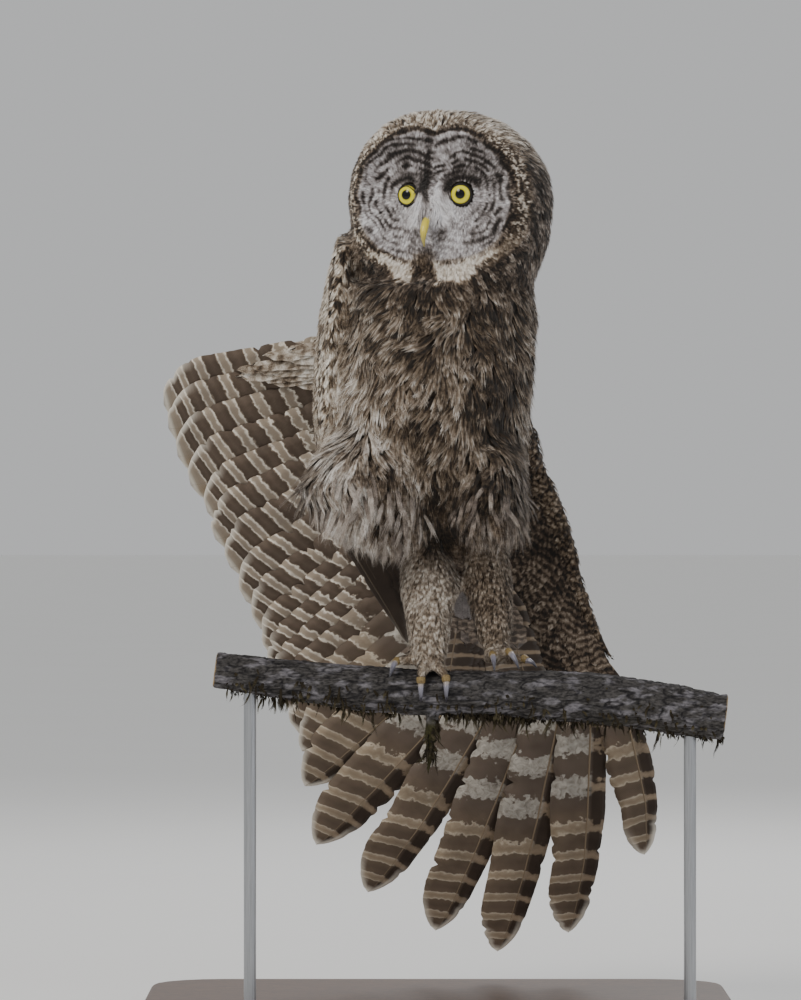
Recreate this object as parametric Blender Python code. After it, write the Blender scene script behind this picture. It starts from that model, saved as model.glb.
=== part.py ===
"""A great grey owl on a cut branch, one wing spread behind it, on a display stand. Metres, +Z up."""

import math

import bmesh
import bpy
import numpy as np
from mathutils import Vector

for old in list(bpy.data.objects):
    bpy.data.objects.remove(old, do_unlink=True)

# Clear space between neighbouring solids, and how far a cutter is grown to leave it
GAP = 0.0003
CUT_GROWTH = 0.00042
# The owl is drawn with the perch above Y 0, then moved here so that the base holds all of it
PERCH_Y = -0.16

# Stand
BASE_SIDE = 0.50
BASE_HEIGHT = 0.018
BASE_CORNER = 0.06
BASE_CHAMFER = 0.002
CORNER_POINTS = 6
ROD_RADIUS = 0.005
ROD_X = {"stand_rod_right": -0.1545, "stand_rod_left": 0.2033}

# Perch: X, Z and radius of the branch along its length
PERCH_ROWS = (
    (-0.1830, 0.3045, 0.0142),
    (-0.1138, 0.2953, 0.0170),
    (-0.0325, 0.2868, 0.0190),
    (0.0488, 0.2848, 0.0187),
    (0.1301, 0.2811, 0.0215),
    (0.2114, 0.2685, 0.0195),
    (0.2317, 0.2655, 0.0192),
)
PERCH_RINGS = 15
# The branch swells and narrows by these shares of its radius
SWELL_DEEP = 0.035
SWELL_HIGH = 0.030
STUB_ROOT = (-0.006, -0.006, 0.272)
STUB_TIP = (-0.010, -0.012, 0.219)
STUB_RADII = (0.0060, 0.0042, 0.0010)

# Head: centre, turn towards -X, half width, and heights above and below the centre
HEAD = Vector((0.0070, -0.012, 0.686))
HEAD_TURN = math.radians(16)
HEAD_SIDE = 0.0845
HEAD_TOP = 0.0790
# The crown leans this much towards -X
HEAD_LEAN = 0.008
HEAD_LOW = 0.120
HEAD_CUT_Z = 0.618
# Profile of the head from the bill ridge to the back: share of the disc radius, and depth
HEAD_PROFILE = (
    (0.14, -0.0565),
    (0.34, -0.0500),
    (0.60, -0.0455),
    (0.82, -0.0450),
    (0.97, -0.0465),
    (1.06, -0.0400),
    (1.17, -0.0240),
    (1.25, 0.0020),
    (1.22, 0.0280),
    (1.05, 0.0530),
    (0.72, 0.0690),
    (0.34, 0.0770),
)
HEAD_WIDEST = 1.25
HEAD_SIDES = 20
# The disc is hollow by this much half way between its ridges
DISC_HOLLOW = 0.002
RIDGE_DEPTH = -0.0590
BACK_DEPTH = 0.0790
DISC_SIDE = 0.0675
DISC_TOP = 0.0610
DISC_LOW = 0.0700
BROW_NOTCH = 0.008

# Eyes and bill, in the head's own frame: X to the owl's left, Y back, Z up
EYE_SIDE = 0.0225
EYE_DEPTH = -0.0405
EYE_UP = 0.0015
EYE_RADIUS = 0.0125
EYE_RINGS = 7
UPPER_BILL_ROWS = (
    (-0.0015, -0.044, -0.0180, 0.0038, 0.0055),
    (-0.0030, -0.0545, -0.0205, 0.0039, 0.0052),
    (-0.0035, -0.0612, -0.0262, 0.0035, 0.0044),
    (-0.0035, -0.0636, -0.0335, 0.0024, 0.0032),
    (-0.0030, -0.0622, -0.0415, 0.0007, 0.0008),
)
LOWER_BILL_ROWS = (
    (-0.0015, -0.0430, -0.0280, 0.0026, 0.0022),
    (-0.0028, -0.0500, -0.0305, 0.0026, 0.0020),
    (-0.0034, -0.0535, -0.0325, 0.0018, 0.0014),
    (-0.0034, -0.0550, -0.0340, 0.0007, 0.0007),
)

# Body: centre X, centre Y, Z, half width, half depth
NECK_ROWS = (
    (0.0020, 0.000, 0.6177, 0.0755, 0.0650),
    (-0.0005, 0.002, 0.6020, 0.0800, 0.0695),
    (-0.0020, 0.003, 0.5850, 0.0825, 0.0730),
)
TRUNK_ROWS = (
    (-0.0020, 0.003, 0.5847, 0.0825, 0.0730),
    (-0.0040, 0.002, 0.5500, 0.0825, 0.0780),
    (-0.0060, 0.001, 0.5100, 0.0800, 0.0800),
    (-0.0060, 0.007, 0.4700, 0.0790, 0.0760),
    (-0.0070, 0.020, 0.4400, 0.0730, 0.0620),
    (-0.0060, 0.030, 0.4170, 0.0540, 0.0460),
    (-0.0020, 0.034, 0.4020, 0.0300, 0.0280),
)
RIGHT_THIGH_ROWS = (
    (-0.046, -0.010, 0.5060, 0.0340, 0.0480),
    (-0.053, -0.011, 0.4760, 0.0530, 0.0600),
    (-0.0575, -0.011, 0.4480, 0.0600, 0.0610),
    (-0.050, -0.010, 0.4300, 0.0520, 0.0540),
    (-0.040, -0.008, 0.4170, 0.0380, 0.0400),
    (-0.034, -0.006, 0.4080, 0.0180, 0.0200),
)
LEFT_THIGH_ROWS = (
    (0.034, -0.010, 0.5060, 0.0280, 0.0480),
    (0.036, -0.011, 0.4760, 0.0350, 0.0590),
    (0.038, -0.011, 0.4480, 0.0350, 0.0590),
    (0.038, -0.010, 0.4300, 0.0345, 0.0530),
    (0.037, -0.006, 0.4190, 0.0290, 0.0400),
    (0.036, -0.002, 0.4120, 0.0150, 0.0220),
)
RIGHT_LEG_ROWS = (
    (-0.0150, 0.008, 0.4180, 0.0200, 0.0210),
    (-0.0125, 0.007, 0.4010, 0.0200, 0.0220),
    (-0.0085, 0.005, 0.3720, 0.0262, 0.0240),
    (-0.0095, 0.002, 0.3500, 0.0205, 0.0210),
    (-0.0085, 0.000, 0.3300, 0.0180, 0.0185),
    (-0.0085, 0.000, 0.3145, 0.0150, 0.0150),
)
LEFT_LEG_ROWS = (
    (0.0360, 0.012, 0.4180, 0.0190, 0.0200),
    (0.0370, 0.013, 0.4010, 0.0200, 0.0210),
    (0.0400, 0.016, 0.3720, 0.0210, 0.0210),
    (0.0430, 0.018, 0.3480, 0.0180, 0.0190),
    (0.0455, 0.019, 0.3240, 0.0140, 0.0150),
)

# Feet. A toe goes round the perch: X at root and tip, angles from the top towards the front
TOE_RADIUS = 0.0062
CLAW_RADIUS = 0.0026
# Share of the radius from root to tip, for a toe and a claw that go round the perch
TOE_TAPER = (1.0, 1.0, 0.92, 0.72)
CLAW_TAPER = (1.0, 0.85, 0.55, 0.16)
# How far a toe's underside and a claw's middle line stay off the bark
TOE_CLEAR = 0.0012
CLAW_LIFTS = (0.0042, 0.0052, 0.0042, 0.0014)
# The same shares for the other toes and claws, and how far such a claw arches forward and up
FREE_TOE_TAPER = (1.0, 0.92, 0.68)
FREE_CLAW_TAPER = (1.0, 0.75, 0.2)
CLAW_ARCH_FORWARD = 0.0015
CLAW_ARCH_UP = 0.0022
# Palm of a foot: height above its middle, and radius there
PALM_ROWS = ((0.0045, 0.0070), (0.0020, 0.0120), (-0.0020, 0.0120), (-0.0045, 0.0070))
RIGHT_PALM = (-0.0085, 0.000, 0.3095)
LEFT_PALM = (0.0455, 0.018, 0.3130)
RIGHT_TOES = (
    ("inner", (-0.0040, 0.0050), (14, 62), 112),
    ("middle", (-0.0130, -0.0156), (14, 66), 114),
    ("hind", (-0.0085, -0.0060), (-18, -64), -112),
)
# The other toes: root, knuckle and tip, then the end of the claw
FREE_TOES = (
    ("right", "outer", (-0.018, 0.000, 0.3110), (-0.028, -0.005, 0.3135), (-0.036, -0.011, 0.3110),
     (-0.041, -0.0215, 0.2990)),
    ("left", "inner", (0.041, 0.011, 0.3145), (0.042, 0.003, 0.3180), (0.043, -0.005, 0.3160),
     (0.044, -0.0165, 0.3040)),
    ("left", "middle", (0.051, 0.012, 0.3155), (0.054, 0.005, 0.3200), (0.057, -0.002, 0.3180),
     (0.064, -0.0120, 0.3055)),
    ("left", "outer", (0.054, 0.020, 0.3130), (0.063, 0.021, 0.3130), (0.070, 0.018, 0.3115),
     (0.079, 0.0120, 0.3060)),
    ("left", "hind", (0.0455, 0.027, 0.3080), (0.046, 0.033, 0.2990), (0.046, 0.035, 0.2890),
     (0.046, 0.0290, 0.2740)),
)

# Folded right wing: centre X, Y, Z, half size along X, half depth. Its coverts stand edge on
# beside the body, and its long feathers turn flat behind the right leg
RIGHT_COVERT_ROWS = (
    (-0.0760, -0.004, 0.6560, 0.0090, 0.0230),
    (-0.0825, 0.008, 0.6140, 0.0125, 0.0380),
    (-0.0880, 0.018, 0.5800, 0.0130, 0.0520),
    (-0.0915, 0.028, 0.5350, 0.0130, 0.0560),
    (-0.0920, 0.042, 0.4950, 0.0120, 0.0500),
    (-0.0850, 0.062, 0.4600, 0.0100, 0.0380),
    (-0.0760, 0.078, 0.4400, 0.0050, 0.0220),
)
RIGHT_PRIMARY_ROWS = (
    (-0.0740, 0.074, 0.4600, 0.0080, 0.0240),
    (-0.0660, 0.100, 0.4280, 0.0240, 0.0150),
    (-0.0520, 0.130, 0.3970, 0.0215, 0.0095),
    (-0.0360, 0.154, 0.3650, 0.0180, 0.0065),
    (-0.0275, 0.170, 0.3380, 0.0095, 0.0040),
    (-0.0245, 0.178, 0.3215, 0.0030, 0.0020),
)

# Spread left wing. Its sheet starts here and falls back as it goes down
SHEET_TOP = 0.5758
SHEET_BACK = 0.112
SHEET_SLOPE = 0.62
SHEET_EASE = 0.15
SHEET_CAMBER = 0.30
SHEET_MIDDLE = 0.05
# Upper arm, forearm and hand: X, Z, Y before the sheet, half width, half thickness
UPPER_ARM_ROWS = (
    (0.0600, 0.022, 0.5900, 0.0220, 0.0200),
    (0.0620, 0.060, 0.5850, 0.0200, 0.0200),
    (0.0500, 0.098, 0.5740, 0.0160, 0.0170),
)
FOREARM_ROWS = (
    (0.0440, 0.5760, 0.004, 0.0130, 0.0110),
    (0.0545, 0.5500, 0.006, 0.0150, 0.0120),
    (0.0690, 0.5050, 0.007, 0.0135, 0.0110),
    (0.0815, 0.4680, 0.008, 0.0120, 0.0095),
)
HAND_ROWS = (
    (0.0830, 0.4640, 0.008, 0.0120, 0.0095),
    (0.1020, 0.4230, 0.010, 0.0120, 0.0085),
    (0.1155, 0.3720, 0.012, 0.0110, 0.0070),
    (0.1340, 0.3290, 0.014, 0.0080, 0.0055),
    (0.1510, 0.3040, 0.015, 0.0035, 0.0030),
)

# Flight feathers, in the XZ plane. Each row is a root and a tip, from the body outwards
SECONDARY_ROOTS = ((0.0324, 0.5774), (0.0665, 0.4610))
SECONDARY_TIPS = (
    (-0.2310, 0.5230), (-0.2275, 0.5035), (-0.2205, 0.4805), (-0.2105, 0.4565), (-0.1970, 0.4335),
    (-0.1910, 0.4110), (-0.1790, 0.3870), (-0.1665, 0.3580), (-0.1552, 0.3345), (-0.1460, 0.3105),
    (-0.1405, 0.2915), (-0.1345, 0.2755),
)
PRIMARY_ROOTS = (
    (0.0730, 0.4440), (0.0800, 0.4300), (0.0855, 0.4160), (0.0910, 0.4020), (0.0955, 0.3880),
    (0.1005, 0.3735), (0.1060, 0.3590), (0.1140, 0.3430), (0.1245, 0.3265), (0.1420, 0.3080),
)
PRIMARY_TIPS = (
    (-0.1290, 0.2610), (-0.1235, 0.2430), (-0.1185, 0.2250), (-0.1165, 0.1940), (-0.1070, 0.1415),
    (-0.0620, 0.0980), (-0.0025, 0.0627), (0.0524, 0.0434), (0.1149, 0.0609), (0.1804, 0.1322),
)
FEATHER_THICK = 0.0008
# Each feather outwards lies this far before the last one, and its outer edge leans back
STACK_STEP = 0.0008
FEATHER_LEAN = 0.08
# Bow of each secondary's shaft, as a share of its length
SECONDARY_BOW = 0.015
# Round tips and pointed tips: how many vane widths long, and how strongly the sides bend in
ROUND_TIP = (1.1, 0.5)
POINTED_TIP = (1.7, 0.72)
# A pointed feather's narrow outer vane starts to bend in this much further from the tip
OUTER_REACH = 2.0
# Along a vane: place, share of the inner width, share of the outer width, before its tip
VANE_ROWS = (
    (0.00, 0.06, 0.10),
    (0.12, 0.45, 0.50),
    (0.32, 0.90, 0.90),
    (0.58, 1.00, 1.00),
    (0.76, 1.00, 1.00),
    (0.88, 1.00, 1.00),
    (0.94, 1.00, 1.00),
    (0.98, 1.00, 1.00),
    (1.00, 1.00, 1.00),
)
# Inner and outer widths of the vanes, how much of the inner one is left past the slot, and
# where along the feather the slot begins
SECONDARY_WIDTHS = (0.033, 0.023, 1.0, 0.7)
PRIMARY_WIDTHS = (
    (0.033, 0.022, 1.00, 0.70), (0.033, 0.021, 1.00, 0.70), (0.033, 0.020, 1.00, 0.70),
    (0.034, 0.018, 1.00, 0.70), (0.035, 0.017, 0.94, 0.70), (0.037, 0.015, 0.80, 0.64),
    (0.038, 0.0135, 0.76, 0.69), (0.038, 0.0130, 0.74, 0.68), (0.036, 0.0130, 0.76, 0.62),
    (0.031, 0.0105, 0.70, 0.58),
)
SLOT_LENGTH = 0.12
# Primaries from this one outwards, counted from 0, are pointed
FIRST_POINTED = 2
# Bow of each primary's shaft, as a share of its length
PRIMARY_BOWS = (0.020, 0.025, 0.030, 0.035, 0.040, 0.040, 0.040, 0.042, 0.056, 0.076)

# Coverts lie over this share of the flight feathers, this far before or behind their stack
COVERT_SHARE = 0.40
COVERT_THICK = 0.0020
UNDERWING_DEPTH = -0.0078
UPPERWING_DEPTH = 0.0048

# Tail: root and direction, half width of a feather, and how far the outer ones stand off
TAIL_ROOT = Vector((0.030, 0.036, 0.408))
TAIL_WAY = Vector((0.05, 0.846, -0.530)).normalized()
TAIL_LENGTH = 0.262
TAIL_FEATHER_HALF = 0.026
TAIL_START = 0.030
TAIL_ROOT_STEP = 0.010
TAIL_TIP_STEP = 0.036
TAIL_SIDE_SHORTER = 0.012
TAIL_BASE_ROWS = (
    (0.0140, 0.030, 0.4300, 0.0300, 0.0240),
    (0.0240, 0.044, 0.4130, 0.0310, 0.0210),
    (0.0300, 0.062, 0.3990, 0.0260, 0.0150),
    (0.0330, 0.090, 0.3810, 0.0150, 0.0070),
)

# Finishes: colour, roughness
FINISHES = {
    "plumage": ((0.235, 0.195, 0.160), 0.85),
    "face_plumage": ((0.270, 0.255, 0.240), 0.85),
    "flight_feather": ((0.200, 0.160, 0.125), 0.62),
    "eye": ((0.720, 0.660, 0.060), 0.08),
    "bill_horn": ((0.640, 0.520, 0.070), 0.35),
    "claw_horn": ((0.190, 0.180, 0.200), 0.30),
    "toe_skin": ((0.420, 0.300, 0.110), 0.70),
    "bark": ((0.075, 0.073, 0.082), 0.95),
    "stand_wood": ((0.110, 0.065, 0.040), 0.45),
    "stand_steel": ((0.300, 0.300, 0.310), 0.35),
}


def finish(name):
    """The Principled material of this name, made once."""
    made = bpy.data.materials.get(name)
    if made:
        return made
    made = bpy.data.materials.new(name)
    made.use_nodes = True
    colour, roughness = FINISHES[name]
    shader = made.node_tree.nodes["Principled BSDF"]
    shader.inputs["Base Color"].default_value = (*colour, 1)
    shader.inputs["Roughness"].default_value = roughness
    shader.inputs["Metallic"].default_value = 1.0 if name == "stand_steel" else 0.0
    return made


def solid(name, points, faces, slot):
    """A closed object from points and faces, with its faces turned outwards."""
    mesh = bpy.data.meshes.new(name)
    mesh.from_pydata([tuple(map(float, p)) for p in points], [], faces)
    made = bpy.data.objects.new(name, mesh)
    bpy.context.collection.objects.link(made)
    mesh.materials.append(finish(slot))
    work = bmesh.new()
    work.from_mesh(mesh)
    bmesh.ops.triangulate(work, faces=work.faces[:])
    bmesh.ops.recalc_face_normals(work, faces=work.faces[:])
    work.to_mesh(mesh)
    work.free()
    mesh.shade_smooth()
    return made


def through(rows, count):
    """count rows on a smooth line through the given rows."""
    rows = np.asarray(rows, float)
    ends = np.vstack((2 * rows[0] - rows[1], rows, 2 * rows[-1] - rows[-2]))
    made = []
    for place in np.linspace(0, len(rows) - 1, count):
        k = min(int(place), len(rows) - 2)
        t = place - k
        a, b, c, d = ends[k : k + 4]
        bend = (2 * a - 5 * b + 4 * c - d) * t * t + (3 * b - a - 3 * c + d) * t**3
        made.append(0.5 * (2 * b + (c - a) * t + bend))
    return np.array(made)


def tube(name, rows, slot, sides=16, count=0, side=(1, 0, 0), level=False):
    """A closed tube through rows of centre, half size along side, and half size across it."""
    rows = through(rows, count or len(rows))
    centres = rows[:, :3]
    points = []
    faces = []
    for k, (centre, a, b) in enumerate(zip(centres, rows[:, 3], rows[:, 4])):
        way = centres[min(k + 1, len(rows) - 1)] - centres[max(k - 1, 0)]
        if level:
            way = np.array((0.0, 0.0, 1.0))
        way = way / np.linalg.norm(way)
        over = np.asarray(side, float) - way * np.dot(side, way)
        over = over / np.linalg.norm(over)
        across = np.cross(way, over)
        for s in range(sides):
            turn = 2 * math.pi * s / sides
            points.append(centre + over * a * math.cos(turn) + across * b * math.sin(turn))
    for k in range(len(rows) - 1):
        for s in range(sides):
            n = (s + 1) % sides
            here, there = k * sides, (k + 1) * sides
            faces.append((here + s, here + n, there + n, there + s))
    for ring, centre in ((0, centres[0]), (len(rows) - 1, centres[-1])):
        middle = len(points)
        points.append(centre)
        for s in range(sides):
            faces.append((ring * sides + s, ring * sides + (s + 1) % sides, middle))
    return solid(name, points, faces, slot)


def grown(thing, by):
    """A copy with each point moved out by this much, to cut a neighbour with."""
    mesh = thing.data.copy()
    for vertex, normal in zip(mesh.vertices, [Vector(v.normal) for v in mesh.vertices]):
        vertex.co += normal * by
    copy = bpy.data.objects.new("cutter", mesh)
    bpy.context.collection.objects.link(copy)
    copy.hide_render = True
    copy.display_type = "WIRE"
    return copy


def combine(thing, other, how):
    """Boolean of thing with other. The result replaces thing's mesh and the other one goes."""
    step = thing.modifiers.new("join", "BOOLEAN")
    step.operation = how
    step.solver = "EXACT"
    step.object = other
    bpy.context.view_layer.update()
    graph = bpy.context.evaluated_depsgraph_get()
    mesh = bpy.data.meshes.new_from_object(thing.evaluated_get(graph))
    thing.modifiers.clear()
    materials = list(thing.data.materials)
    thing.data = mesh
    mesh.materials.clear()
    mesh.materials.append(materials[0])
    for face in mesh.polygons:
        face.material_index = 0
    bpy.data.objects.remove(other, do_unlink=True)
    keep_largest(thing)
    mesh.shade_smooth()


def keep_largest(thing):
    """Welds what meets and drops the crumbs a cut has left."""
    work = bmesh.new()
    work.from_mesh(thing.data)
    bmesh.ops.triangulate(work, faces=work.faces[:])
    bmesh.ops.remove_doubles(work, verts=work.verts[:], dist=0.000002)
    groups = []
    seen = set()
    for first in work.verts:
        if first in seen:
            continue
        group = []
        todo = [first]
        seen.add(first)
        while todo:
            at = todo.pop()
            group.append(at)
            for edge in at.link_edges:
                other = edge.other_vert(at)
                if other not in seen:
                    seen.add(other)
                    todo.append(other)
        groups.append(group)
    groups.sort(key=len)
    for group in groups[:-1]:
        bmesh.ops.delete(work, geom=group, context="VERTS")
    bmesh.ops.recalc_face_normals(work, faces=work.faces[:])
    work.to_mesh(thing.data)
    work.free()


def cut(thing, *others):
    """Cuts each of the others out of thing, with the gap kept clear."""
    for other in others:
        combine(thing, grown(other, CUT_GROWTH), "DIFFERENCE")


def box(low, high):
    """A closed box, used to cut with."""
    (a, b, c), (d, e, f) = low, high
    points = [(x, y, z) for x in (a, d) for y in (b, e) for z in (c, f)]
    faces = [(0, 1, 3, 2), (4, 6, 7, 5), (0, 4, 5, 1), (2, 3, 7, 6), (0, 2, 6, 4), (1, 5, 7, 3)]
    return solid("cutter", points, faces, "stand_wood")


def in_head(point):
    """A point of the head's own frame, as turned in the world."""
    x, y, z = point
    c, s = math.cos(HEAD_TURN), math.sin(HEAD_TURN)
    return HEAD + Vector((c * x + s * y, -s * x + c * y, z))


def head_rows(rows):
    """Rows of the head's own frame, with their centres in the world."""
    return [(*in_head(row[:3]), *row[3:]) for row in rows]


def make_head():
    """The head, a dished facial disc in front, cut flat where the neck begins."""
    sides = HEAD_SIDES
    points = [in_head((0, RIDGE_DEPTH, -0.004))]
    faces = []
    for share, depth in HEAD_PROFILE:
        outside = max(0.0, min(1.0, (share - 1.0) / (HEAD_WIDEST - 1.0)))
        for s in range(sides):
            turn = 2 * math.pi * s / sides
            c, d = math.cos(turn), math.sin(turn)
            disc_high = DISC_TOP if d > 0 else DISC_LOW
            head_high = HEAD_TOP if d > 0 else HEAD_LOW
            wide = share * ((1 - outside) * DISC_SIDE + outside * HEAD_SIDE / HEAD_WIDEST)
            high = share * ((1 - outside) * disc_high + outside * head_high / HEAD_WIDEST)
            lean = HEAD_LEAN * outside * max(0.0, d) ** 2
            notch = BROW_NOTCH * max(0.0, d) ** 12 * max(0.0, 1 - abs(share - 1.0) / 0.5)
            hollow = DISC_HOLLOW * math.sin(2 * turn) ** 2 if share < 0.9 else 0.0
            points.append(in_head((wide * c - lean, depth + hollow, high * d - notch)))
    points.append(in_head((0, BACK_DEPTH, 0)))
    last = len(points) - 1
    for s in range(sides):
        n = (s + 1) % sides
        faces.append((0, 1 + s, 1 + n))
        for k in range(len(HEAD_PROFILE) - 1):
            here, there = 1 + k * sides, 1 + (k + 1) * sides
            faces.append((here + s, there + s, there + n, here + n))
        edge = 1 + (len(HEAD_PROFILE) - 1) * sides
        faces.append((edge + s, last, edge + n))
    made = solid("head", points, faces, "face_plumage")
    combine(made, box((-0.2, -0.2, 0.3), (0.2, 0.2, HEAD_CUT_Z)), "DIFFERENCE")
    return made


def make_eye(name, side):
    """An eyeball, its front half showing."""
    centre = in_head((side * EYE_SIDE, EYE_DEPTH, EYE_UP))
    rows = []
    for turn in np.linspace(0.05 * math.pi, 0.95 * math.pi, EYE_RINGS):
        step = Vector((0, 0, EYE_RADIUS * math.cos(turn)))
        rows.append((*(centre + step), EYE_RADIUS * math.sin(turn), EYE_RADIUS * math.sin(turn)))
    return tube(name, rows, "eye", sides=10)


def perch_at(x):
    """Centre height and radius of the perch at x."""
    xs, zs, radii = zip(*PERCH_ROWS)
    return float(np.interp(x, xs, zs)), float(np.interp(x, xs, radii))


def round_perch(x, degrees, clear):
    """The point at this angle from the perch's top, clear of its bark by so much."""
    z, radius = perch_at(x)
    turn = math.radians(degrees)
    reach = radius + clear
    return (x, -reach * math.sin(turn), z + reach * math.cos(turn))


def make_perch():
    """The cut branch: a bumpy tube with a dead stub under it."""
    rows = through([(x, 0, z, r, r) for x, z, r in PERCH_ROWS], PERCH_RINGS)
    for k, row in enumerate(rows):
        row[3] *= 1 + SWELL_DEEP * math.sin(2.3 * k)
        row[4] *= 1 + SWELL_HIGH * math.sin(1.7 * k + 1)
    made = tube("perch", rows, "bark", sides=12, side=(0, 1, 0))
    middle = [(a + b) / 2 for a, b in zip(STUB_ROOT, STUB_TIP)]
    rows = [(*at, r, r) for at, r in zip((STUB_ROOT, middle, STUB_TIP), STUB_RADII)]
    combine(made, tube("stub", rows, "bark", sides=6, count=4), "UNION")
    return made


def toe(name, rows):
    """One feathered toe."""
    return tube(name, rows, "toe_skin", sides=6, count=4, side=(1, 0.2, 0))


def claw(name, rows):
    """One claw, round and tapering to a point."""
    return tube(name, rows, "claw_horn", sides=6, count=4, side=(1, 0.2, 0))


def make_foot(side, palm, toes):
    """A foot: the palm with its toes joined on."""
    x, y, z = palm
    rows = [(x, y, z + up, radius, radius) for up, radius in PALM_ROWS]
    made = tube(f"foot_{side}", rows, "toe_skin", sides=12)
    for toe_rows in toes:
        combine(made, toe("toe", toe_rows), "UNION")
    return made


def make_feet():
    """Both feet and their eight claws."""
    toes = {"right": [], "left": []}
    claws = {}
    for name, (x0, x1), (from_, to), end in RIGHT_TOES:
        rows = []
        for k, share in enumerate(TOE_TAPER):
            t = k / (len(TOE_TAPER) - 1)
            x = x0 + (x1 - x0) * t
            radius = TOE_RADIUS * share
            middle = round_perch(x, from_ + (to - from_) * t, radius + TOE_CLEAR)
            rows.append((*middle, radius, radius))
        toes["right"].append(rows)
        rows = []
        for k, (share, lift) in enumerate(zip(CLAW_TAPER, CLAW_LIFTS)):
            t = k / (len(CLAW_TAPER) - 1)
            radius = CLAW_RADIUS * share
            rows.append((*round_perch(x1, to + (end - to) * t, lift), radius, radius))
        claws["right", name] = rows
    for side, name, root, knuckle, tip, point in FREE_TOES:
        radii = [TOE_RADIUS * share for share in FREE_TOE_TAPER]
        toes[side].append([(*at, r, r) for at, r in zip((root, knuckle, tip), radii)])
        start, end = Vector(tip), Vector(point)
        forward = CLAW_ARCH_FORWARD if end.y < start.y else 0
        middle = (start + end) / 2 + Vector((0, -forward, CLAW_ARCH_UP))
        radii = [CLAW_RADIUS * share for share in FREE_CLAW_TAPER]
        claws[side, name] = [(*at, r, r) for at, r in zip((start, middle, end), radii)]
    feet = {
        "right": make_foot("right", RIGHT_PALM, toes["right"]),
        "left": make_foot("left", LEFT_PALM, toes["left"]),
    }
    made = {}
    for (side, name), rows in claws.items():
        made[side, name] = claw(f"claw_{side}_{name}", rows)
    return feet, made


def sheet(x, z):
    """Depth of the spread wing's sheet at this place."""
    down = SHEET_TOP - z
    fall = SHEET_SLOPE * down - SHEET_EASE * down * down
    return SHEET_BACK + fall - SHEET_CAMBER * (x - SHEET_MIDDLE) ** 2


def on_sheet(point, before=0.0):
    """A point of the XZ plane on the wing's sheet, or this far before it."""
    x, z = point
    return (x, sheet(x, z) - before, z)


def plate(name, columns, thick, lift, slot):
    """A closed thin plate. Each column is a line of (point, depth); lift places them in 3-D."""
    columns = np.array(columns, float)
    wide, long = columns.shape[:2]
    points = []
    faces = []
    for layer in (0.0, thick):
        for column in columns:
            for a, b, depth in column:
                points.append(lift((a, b), depth + layer))

    def at(layer, c, k):
        return (layer * wide + c) * long + k

    for c in range(wide - 1):
        for k in range(long - 1):
            faces.append((at(0, c, k), at(0, c + 1, k), at(0, c + 1, k + 1), at(0, c, k + 1)))
            faces.append((at(1, c, k), at(1, c, k + 1), at(1, c + 1, k + 1), at(1, c + 1, k)))
    for k in range(long - 1):
        faces.append((at(0, 0, k), at(0, 0, k + 1), at(1, 0, k + 1), at(1, 0, k)))
        last = wide - 1
        faces.append((at(0, last, k), at(1, last, k), at(1, last, k + 1), at(0, last, k + 1)))
    for c in range(wide - 1):
        faces.append((at(0, c, 0), at(1, c, 0), at(1, c + 1, 0), at(0, c + 1, 0)))
        end = long - 1
        faces.append((at(0, c, end), at(0, c + 1, end), at(1, c + 1, end), at(1, c, end)))
    return solid(name, points, faces, slot)


def tip_share(v, reach, bend):
    """How much of a vane's width is left near its tip, which takes this share of the feather."""
    past = max(0.0, (v - 1 + reach) / reach)
    return max(0.06, max(0.0, 1 - past**2) ** bend)


def feather(name, root, tip, widths, bow, depth, lift, lean=FEATHER_LEAN, end=ROUND_TIP):
    """One flight feather: inner edge, shaft and outer edge along a bowed line."""
    inner, outer, kept, slot_from = widths
    tip_long, bend = end
    root, tip = np.array(root), np.array(tip)
    length = float(np.linalg.norm(tip - root))
    way = (tip - root) / length
    over = np.array((-way[1], way[0]))
    inner_reach = tip_long * inner * kept / length
    outer_reach = tip_long * outer * (OUTER_REACH if end == POINTED_TIP else 1.0) / length
    columns = [[], [], []]
    for v, inner_share, outer_share in VANE_ROWS:
        middle = root + way * length * v + over * 4 * bow * length * v * (1 - v)
        slot_share = min(1.0, max(0.0, (v - slot_from) / SLOT_LENGTH))
        left = inner * inner_share * (1 - slot_share * (1 - kept)) * tip_share(v, inner_reach, bend)
        right = outer * outer_share * tip_share(v, outer_reach, bend)
        turn = over - way * 4 * bow * (1 - 2 * v)
        turn = turn / np.linalg.norm(turn)
        columns[0].append((*(middle - turn * left), depth - lean * left))
        columns[1].append((*middle, depth))
        columns[2].append((*(middle + turn * right), depth + lean * right))
    return plate(name, columns, FEATHER_THICK, lift, "flight_feather")


def wing_feathers():
    """Name, root, tip, widths, bow and kind of tip of each feather of the spread wing."""
    made = []
    (x0, z0), (x1, z1) = SECONDARY_ROOTS
    for k, tip in enumerate(SECONDARY_TIPS):
        t = k / (len(SECONDARY_TIPS) - 1)
        root = (x0 + (x1 - x0) * t, z0 + (z1 - z0) * t)
        name = f"secondary_left_{len(SECONDARY_TIPS) - k:02d}"
        made.append((name, root, tip, SECONDARY_WIDTHS, SECONDARY_BOW, ROUND_TIP))
    for k, (root, tip) in enumerate(zip(PRIMARY_ROOTS, PRIMARY_TIPS)):
        name = f"primary_left_{k + 1:02d}"
        end = POINTED_TIP if k >= FIRST_POINTED else ROUND_TIP
        made.append((name, root, tip, PRIMARY_WIDTHS[k], PRIMARY_BOWS[k], end))
    return made


def lift_wing(point, depth):
    """Places a point of the spread wing."""
    return on_sheet(point, -depth)


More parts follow.
